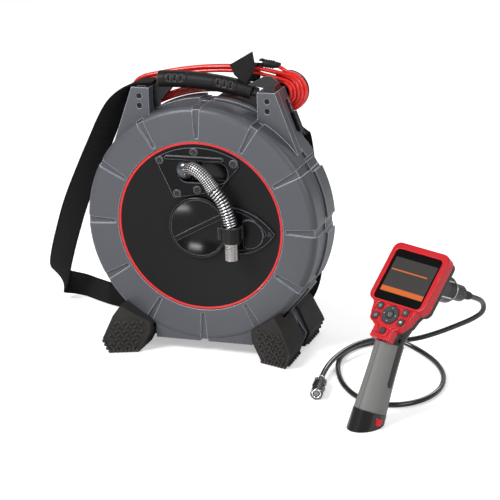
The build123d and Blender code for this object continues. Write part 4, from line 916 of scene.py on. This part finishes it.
class InspectLeader(bpy.types.Operator):
    """Woven sleeve, coil spring, clip and camera head on the drum's face"""
    bl_idname = "inspect.leader"
    bl_label = "Leader"

    def execute(self, context):
        line = smooth_line([on_case(*p) for p in SLEEVE_PATH], 12)[5:]
        radii = [0.0085] * (len(line) - 4) + [0.0089] * 4           # a little wider at its end
        sleeve = hose("leader_sleeve_weave", line, radii, 48)
        wear(sleeve, "drum", braided("sleeve_metal", (0.74, 0.73, 0.71)), ["leader_sleeve"])

        # the collar's bluish colour is a painted reflection on dark glossy plastic
        collar = ball("port_collar", on_case(-17.5, -39.5, 76.5), (0.0128, 0.0105, 0.0130), 1, 48, 24)
        wear(smooth(collar, 80), "drum",
             moulded("port_collar", (0.030, 0.033, 0.048), 0.2, 0.00001, 900, 1.2, 0.0002, 0.6, 0.7))

        line = smooth_line([on_case(*p) for p in SPRING_PATH], 40)
        core = hose("spring_core", line, 0.0076, 24)
        wear(core, "drum", moulded("core_black", (0.012, 0.012, 0.012), 0.6))
        pitch, wire, radius = 0.0038, 0.00122, 0.0098
        coil = self.coil(line, run_along(line)[-1] / pitch, radius - wire)
        spring = hose("spring_coil", coil, wire, 8)
        wear(spring, "drum", metal("spring_steel", (0.66, 0.66, 0.68), 0.16), ["spring_leader"])

        finish_nodes(metal("head_steel", (0.34, 0.33, 0.32), 0.22, 0.02, 0.0002), "camera_head")
        finish_nodes(clear("lens_glass", (0.06, 0.08, 0.10), 0.02, 0.7), "camera_lens")
        finish_nodes(moulded("clip_rubber", (0.006, 0.006, 0.0065), 0.35, 0.00002, 1500, 40.0, 0.0010, 0.0, 0.25),
                     "camera_clip")
        return {"FINISHED"}

    @staticmethod
    def coil(line, turns, radius):
        """Points of a wire wound round a line, twenty for each turn."""
        steps = int(turns * 20)
        spots = [i / steps * (len(line) - 1) for i in range(steps + 1)]
        parts = [min(int(t), len(line) - 2) for t in spots]
        ways = [(line[k + 1] - line[k]).normalized() for k in parts]
        points = []
        for i, (t, k, (across, other)) in enumerate(zip(spots, parts, carried(line, ways))):
            a = FULL_TURN * turns * i / steps
            points.append(line[k].lerp(line[k + 1], t - k) + (across * math.cos(a) + other * math.sin(a)) * radius)
        return points


# ---------------------------------------------------------------- soft goods
# places along the strap's middle, above the floor, and the direction of its width at each
STRAP = (
    ((-71.5, 7, 359), (0, 1, 0)), ((-83, 7, 357.6), (0, 1, 0)), ((-96, 6.5, 356.2), (0.05, 1, 0)),
    ((-107.5, 5.5, 351.5), (0.12, 0.99, 0.02)), ((-119, 6, 339.5), (0.38, 0.92, -0.1)),
    ((-131, 8.5, 323.5), (0.58, 0.78, -0.20)), ((-144.5, 13, 301), (0.68, 0.65, -0.28)),
    ((-160.5, 18.5, 271), (0.74, 0.57, -0.34)), ((-182, 27, 232), (0.78, 0.48, -0.40)),
    ((-211, 38, 176), (0.84, 0.33, -0.40)),
    ((-233, 54, 130), (0.88, 0.20, -0.42)), ((-254, 76, 88), (0.84, 0.20, -0.50)),
    ((-270, 98, 56), (0.72, 0.20, -0.66)), ((-278, 116, 35), (0.50, 0.15, -0.86)),
    ((-276, 130, 24), (0.25, 0.05, -0.97)), ((-264, 136, 20.5), (0.05, 0, -1)), ((-244, 131, 20), (0, 0, -1)),
    ((-218, 116, 20), (0, 0, -1)), ((-185, 100, 20), (0, 0, -1)), ((-145, 90, 20), (0, 0, -1)),
    ((-95, 86, 20), (0, 0, -1)), ((-40, 86, 20), (0, 0, -1)), ((15, 91, 20.5), (0.05, 0, -1)),
    ((60, 93, 25), (0.25, 0, -0.97)), ((92, 92, 43), (0.70, 0, -0.72)), ((108, 90, 75), (0.95, 0, -0.30)),
    ((112, 85, 120), (1, 0, -0.05)), ((112, 78, 170), (1, 0, 0)), ((111, 70, 220), (0.99, 0, -0.1)),
    ((110.5, 61, 262), (0.92, 0, -0.4)), ((110, 53.5, 289), (0.79, 0, -0.61)),
    ((112.5, 46, 298.8), (0.737, 0, -0.676)), ((112.5, 31.5, 298.8), (0.737, 0, -0.676)))


class InspectStrap(bpy.types.Operator):
    """Shoulder strap of ribbed webbing"""
    bl_idname = "inspect.strap"
    bl_label = "Shoulder strap"

    def execute(self, context):
        width = context.scene.cord_settings.strap_width
        line = smooth_line([at(*p) for p, _ in STRAP], 6)
        wides = smooth_line([Vector(w).normalized() for _, w in STRAP], 6)
        strap = band("strap_webbing", line, wides, 0.0022, width)
        wear(strap, "case", woven("strap_webbing", (0.0075, 0.0073, 0.0073), 0.0021, width),
             ["shoulder_strap"])
        part, narrow = slice(106, 128), width * 0.95                # where the second layer is sewn on
        patch = band("strap_patch", line[part], wides[part], 0.0046, narrow)
        wear(patch, "case", woven("patch_webbing", (0.0045, 0.0045, 0.0045), 0.0014, narrow))
        return {"FINISHED"}


class InspectCordTie(bpy.types.Operator):
    """Hook-and-loop tie round the stored cord and the grip"""
    bl_idname = "inspect.cord_tie"
    bl_label = "Cord tie"

    def execute(self, context):
        low, high, front, back = 181.5, 203.6, 27.8, 43.6           # the space that the stored cord takes up
        line = [on_case(51, y, z) for y, z in (
            (front, 192), (front + 0.2, low + 4), (front + 4, low), ((front + back) / 2, low - 0.4), (back - 4, low),
            (back, low + 4), (back + 0.4, 192), (back, high - 4), (back - 4, high), (front + 6, high + 0.3),
            (12, high + 0.4), (2, high + 0.2), (-4.4, high - 1.0))]
        loop = band("tie_loop", smooth_line(line, 4), [Vector((1, 0, 0))] * (4 * (len(line) - 1) + 1), 0.0016, 0.0205)
        flag = self.flag(((36.5, 210.5), (68, 229.0), (73.5, 217), (68.5, 202), (58, 185), (42, 197)))
        tape = looped("tie_tape", (0.010, 0.0092, 0.0090))
        wear(joined("cord_tie_tape", [loop, flag]), "case", tape, ["cord_tie"])
        return {"FINISHED"}

    @staticmethod
    def flag(corners):
        """The tie's free end: a sheet with slightly bowed sides that curls to the front."""
        sheet = fresh("flag", bpy.ops.mesh.primitive_grid_add, x_subdivisions=14, y_subdivisions=14, size=2)
        a, b, c, d, e, f = (Vector(p) for p in corners)
        for vert in sheet.data.vertices:
            u, v = (vert.co.x + 1) / 2, (vert.co.y + 1) / 2
            left = f.lerp(a, v)
            right = e.lerp(d, v * 2) if v < 0.5 else d.lerp(c, (v - 0.5) * 2)
            top = a.lerp(b, u)
            flat = left.lerp(right, u)
            if v > 0.75:
                flat = flat.lerp(top + (right - c) * u, (v - 0.75) * 4)
            curl = 1.6 * math.sin(u * math.pi) + 1.2 * v
            vert.co = on_case(flat.x, -4.6 - curl, flat.y)
        thick = sheet.modifiers.new("thick", "SOLIDIFY")
        thick.thickness, thick.offset = 0.0016, 0
        pick(sheet)
        bpy.ops.object.modifier_apply(modifier=thick.name)
        return smooth(rounded_edges(sheet, 0.0004, 2, 50), 60)


class InspectConnector(bpy.types.Operator):
    """Connector on the end of the stored cord"""
    bl_idname = "inspect.connector"
    bl_label = "Cord connector"

    def execute(self, context):
        place = frame_at(on_case(86, 35.2, 203.4), (-0.99, 0, 0.10))
        body = [round_bar("relief", 0.0036, 0.009, place @ moved(0, 0, -0.006), 24, 0.0005, 0.0046),
                round_bar("body", 0.0051, 0.015, place @ moved(0, 0, 0.002), 32, 0.0008)]
        body += [hoop("rib", 0.0052, 0.0006, place @ moved(0, 0, 0.004 + i * 0.0032), 32, 8) for i in range(4)]
        body += [block("lug", (0.0016, 0.0024, 0.006), place @ rotated(60 * i) @ moved(0.0052, 0, 0.0195), 0.0004)
                 for i in range(6)]
        plug = wear(smooth(joined("cord_plug_body", body)), "case",
                    rubbered("plug_rubber", (0.008, 0.008, 0.0085), 0.4, 0.00006, 900, 0.0006, 10.0),
                    ["cord_connector"])
        tip = [round_bar("shell", 0.0041, 0.006, place @ moved(0, 0, 0.0168), 32, 0.0006),
               hoop("lip", 0.0040, 0.0005, place @ moved(0, 0, 0.0225), 32, 8)]
        shell = wear(smooth(joined("cord_plug_shell", tip)), "case",
                     metal("plug_metal", (0.72, 0.72, 0.74), 0.2))
        on_case(*LEAD[0])
        return {"FINISHED"}


# ---------------------------------------------------------------- hand unit
@kept
def screen_finish(name, bar_colour):
    """Black window with a lit display behind it: a dark field and two plain bars."""
    f = Finish(name, Specular_IOR_Level=0.12, Emission_Strength=0.25)
    across, up = f.local(SCREEN)

    def within(value, low, high):
        return f.soft(value, low - FINE, low + FINE) * (1 - f.soft(value, high - FINE, high + FINE))

    half_wide, half_high = 0.03125, 0.0233          # of the part of the window that is lit
    field = within(across, -half_wide, half_wide) * within(up, -half_high, half_high)
    rule = within(across, -0.0295, 0.0235) * within(up, 0.0058, 0.0075)
    foot = within(across, -half_wide, half_wide) * within(up, -half_high, -0.0165)
    glow = f.noise(f.place(), 40.0, 2.0)
    black = f.mix(glow, (0.002, 0.002, 0.002), (0.004, 0.004, 0.004))
    lit = f.mix((rule + foot) * field, f.mix(field, black, (0.034, 0.032, 0.030)), bar_colour)
    f.set("Base Color", lit)
    f.set("Roughness", 0.10 + glow * 0.06 + field * 0.12)
    f.set("Emission Color", f.mix(field, (0, 0, 0), lit))
    return f.material


@kept
def soft_grip(name, colour):
    """Soft grey grip with the parting line down its front."""
    f = Finish(name)
    place = f.place()
    across, back = f.local(HAND)
    seam = (1 - f.soft(f.sum("ABSOLUTE", across + 0.0015), 0.0002, 0.0006)) * f.soft(back * -1.0, 0.005, 0.009)
    speck = f.noise(place, 1200.0, 3.0)
    normal, edge = f.edges(0.0007)
    base = f.between(f.noise(place, 22.0, 3.0), colour, 0.93, 1.07)
    # edges painted lighter: a painted highlight
    base = f.mix(edge * 0.35, base, shade(colour, 1.8))
    f.set("Base Color", f.mix(seam * 0.85, base, shade(colour, 0.25)))
    f.set("Roughness", 0.55 + speck * 0.12)
    f.bump(speck * 0.25 - seam * 3.0, 0.0002, 0.7, normal)
    return f.material


class InspectUnitShells(bpy.types.Operator):
    """Finishes of the hand unit's shells, grip, battery and nose"""
    bl_idname = "inspect.unit_shells"
    bl_label = "Hand unit shells"

    def execute(self, context):
        unit = context.scene.handset_settings
        red = moulded("unit_red", unit.shell_colour, 0.24, 0.00002, 1300, 2.1, 0.0015, 0.0, 0.3)
        black = moulded("unit_black", BLACK, 0.34, 0.00005, 1300, 12.0, 0.0009, 0.0, 0.3)
        finish_nodes(red, "front_shell", "battery_latch")
        finish_nodes(black, "rear_shell", "pistol_frame")
        finish_nodes(moulded("battery_black", (0.006, 0.006, 0.0065), 0.2, 0.00002, 1300, 14.0, 0.0008, 0.3),
                     "battery_pack")
        finish_nodes(soft_grip("grip_grey", unit.grip_colour), "pistol_grip")
        finish_nodes(screen_finish("display_window", unit.bar_colour), "display_window")
        finish_nodes(moulded("lcd_panel", (0.03, 0.03, 0.03), 0.3), "lcd_panel")
        finish_nodes(moulded("circuit_board", (0.02, 0.12, 0.05), 0.4), "main_board")
        finish_nodes(moulded("nose_black", BLACK, 0.34, 0.00005, 1300, 12.0, 0.0008, 0.0, 0.3), "cable_nose")
        finish_nodes(moulded("nut_black", BLACK, 0.3, 0.00003, 1300, 26.0, 0.0007, 0.1), "connector_nut")
        finish_nodes(rubbered("boot_rubber", (0.010, 0.010, 0.0105), 0.45, edge_light=10.0), "cable_boot")
        finish_nodes(rubbered("key_rubber", (0.038, 0.040, 0.043), 0.45, 0.00004, 900, 0.0008, 5.0), "four_way_pad",
                     "select_button", "menu_key", "picture_key", "return_key", "camera_key", "power_key")
        return {"FINISHED"}


PAD_LOW, POWER_LOW, FACE_RISE = -50.5, -72, 1.55    # heights of the pad and the power key; how far the keys rise
KEY_MARKS = (
    # a key's place on the display's face, and its sign's bars: width, height, place and edge radius
    ("menu_key", -18.8, -43, ((3.2, 0.5, 0, -1.1, 0), (3.2, 0.5, 0, 0, 0), (3.2, 0.5, 0, 1.1, 0))),
    ("picture_key", -18.8, -56, ((3.4, 0.5, 0, -1.2, 0), (3.4, 0.5, 0, 1.2, 0), (0.5, 2.9, -1.5, 0, 0),
                                 (0.5, 2.9, 1.5, 0, 0))),
    ("return_key", 18.8, -43, ()),
    ("camera_key", 18.8, -56, ((3.6, 2.4, 0, 0, 0.1), (1.3, 0.6, 0, 1.4, 0))))


class InspectKeypad(bpy.types.Operator):
    """Raised lip round the keypad and plain symbols on the keys"""
    bl_idname = "inspect.keypad"
    bl_label = "Keypad"

    def execute(self, context):
        pad, rise = SCREEN @ moved(0, PAD_LOW * MM, 0), FACE_RISE * MM
        lips = [self.border(x, u, 5.1, 5.2) for _, x, u, _ in KEY_MARKS] + [self.border(0, POWER_LOW, 4.9, 4.4)]
        lips.append(hose("ridge", self.ridge(), 0.0011, 10, False))
        lips.append(hoop("lip", 0.0127, 0.0005, pad @ moved(0, 0, 0.0001), 64, 8))
        wear(joined("keypad_lips", lips), "display_unit", moulded("unit_red"))

        ink = moulded("key_ink", (0.55, 0.55, 0.55), 0.5, 0.00002, 900, 1.0)
        arrows = [round_bar("arrow", 0.0011, 0.0002, pad @ moved(0, 0, rise) @ rotated(90 * i)
                            @ moved(0, 0.0085, 0) @ rotated(90), 3) for i in range(4)]
        wear(joined("pad_arrows", arrows), "four_way_pad", ink)
        wear(hoop("select_mark", 0.0019, 0.00022, pad @ moved(0, 0, 0.0022), 32, 6), "select_button", ink)
        for body, x, u, bars in KEY_MARKS:
            place = SCREEN @ moved(x * MM, u * MM, rise)
            parts = [block("bar", (w * MM, h * MM, 0.0002), place @ moved(a * MM, b * MM, 0), edge * MM)
                     for w, h, a, b, edge in bars]
            if not bars:
                parts = [hoop("bend", 0.0012, 0.00025, place, 24, 6),
                         round_bar("tip", 0.0009, 0.0002, place @ moved(-0.0013, 0.0003, 0), 3)]
            wear(joined(body + "_mark", parts), body, ink)
        return {"FINISHED"}

    @staticmethod
    def ridge():
        """A closed line round all the keys, on the shell's face."""
        half = [(0, -36.7), (9, -37.2), (17, -37.0), (23.5, -38.4), (25.6, -43), (25.4, -55), (22.3, -62.0),
                (14, -64.2), (8.8, -67.4), (7.8, -74.5), (5, -78.2)]
        around = half + [(0, -79.0)] + [(-x, u) for x, u in half[:0:-1]]
        line = smooth_line([SCREEN @ Vector((x * MM, u * MM, 0.0003)) for x, u in around + around[:1]], 6)
        return line + [line[1].copy()]

    @staticmethod
    def border(x, u, half_w, half_h):
        """A raised line round a key, with round corners."""
        line, corner = [], 2.6
        for cx, cy, start in ((half_w - corner, half_h - corner, 0), (corner - half_w, half_h - corner, 90),
                              (corner - half_w, corner - half_h, 180), (half_w - corner, corner - half_h, 270)):
            for i in range(5):
                a = math.radians(start + 22.5 * i)
                line.append(SCREEN @ Vector(((x + cx + corner * math.cos(a)) * MM,
                                             (u + cy + corner * math.sin(a)) * MM, 0.0001)))
        line += [line[0].copy(), line[1].copy()]
        return hose("border", line, 0.0005, 8, False)


class InspectUnitTrim(bpy.types.Operator):
    """Fine ribs on the head's sides, bright bands on the nose and the neck screws"""
    bl_idname = "inspect.unit_trim"
    bl_label = "Hand unit trim"

    def execute(self, context):
        count = context.scene.handset_settings.rib_count
        lean = math.degrees(math.atan2(9.5, 22.0))      # how far the head's sides slope in to its back
        ribs = []
        for side in (-1, 1):
            for i in range(count):
                place = SCREEN @ moved(side * 0.0353, -0.025 + 0.054 * i / (count - 1), -0.023)
                ribs.append(block("rib", (0.0012, 0.0010, 0.0165), place @ rotated(side * lean, "Y"), 0.0002, 1))
        wear(joined("side_ribs", ribs), "display_unit", moulded("unit_black"))

        bands = [hoop("band", 0.0144, 0.0006, HAND @ moved(0, 0.0900, HEAD_HIGH) @ rotated(-90, "X"), 72, 8)]
        bands += [block("strip", (0.0024, 0.024, 0.0019), HAND @ moved(0, 0.068, HEAD_HIGH) @ rotated(angle, "Y")
                        @ moved(0.0168, 0, 0), 0.0005) for angle in (-40, 32)]
        wear(joined("nose_bands", bands), "display_unit", metal("band_silver", (0.75, 0.75, 0.76), 0.25))
        screws = [round_bar("screw", 0.0022, 0.0030, HAND @ moved(side * 0.0150, -0.004, 0.1085)
                            @ rotated(90 * side, "Y"), 24, 0.0004) for side in (-1, 1)]
        wear(smooth(joined("neck_screws", screws)), "display_unit", metal("black_screw"))
        return {"FINISHED"}


# ---------------------------------------------------------------- panel and run
OPERATORS = (InspectStage, InspectImagerCable, InspectStoredCord, InspectCase, InspectFootTreads, InspectPosts,
             InspectHandle, InspectDrum, InspectLeader, InspectStrap, InspectCordTie, InspectConnector,
             InspectUnitShells, InspectKeypad, InspectUnitTrim)
GROUPS = (("case_settings", CaseSettings), ("cord_settings", CordSettings), ("handset_settings", HandsetSettings),
          ("studio_settings", StudioSettings))


class InspectPanel(bpy.types.Panel):
    """Lists the pieces of the inspection camera"""
    bl_idname = "VIEW3D_PT_inspect"
    bl_label = "Inspection camera"
    bl_space_type = "VIEW_3D"
    bl_region_type = "UI"
    bl_category = "Inspection camera"

    def draw(self, context):
        for name, group in GROUPS:
            box = self.layout.box()
            for prop in group.__annotations__:
                box.prop(getattr(context.scene, name), prop)
        for operator in OPERATORS:
            self.layout.operator(operator.bl_idname)


def register():
    for name, group in GROUPS:
        bpy.utils.register_class(group)
        setattr(bpy.types.Scene, name, bpy.props.PointerProperty(type=group))
    for thing in (*OPERATORS, InspectPanel):
        bpy.utils.register_class(thing)


def unregister():
    for thing in (InspectPanel, *reversed(OPERATORS)):
        bpy.utils.unregister_class(thing)
    for name, group in reversed(GROUPS):
        delattr(bpy.types.Scene, name)
        bpy.utils.unregister_class(group)


def main():
    register()
    for operator in OPERATORS:
        family, name = operator.bl_idname.split(".")
        getattr(getattr(bpy.ops, family), name)()


if __name__ == "__main__":
    main()
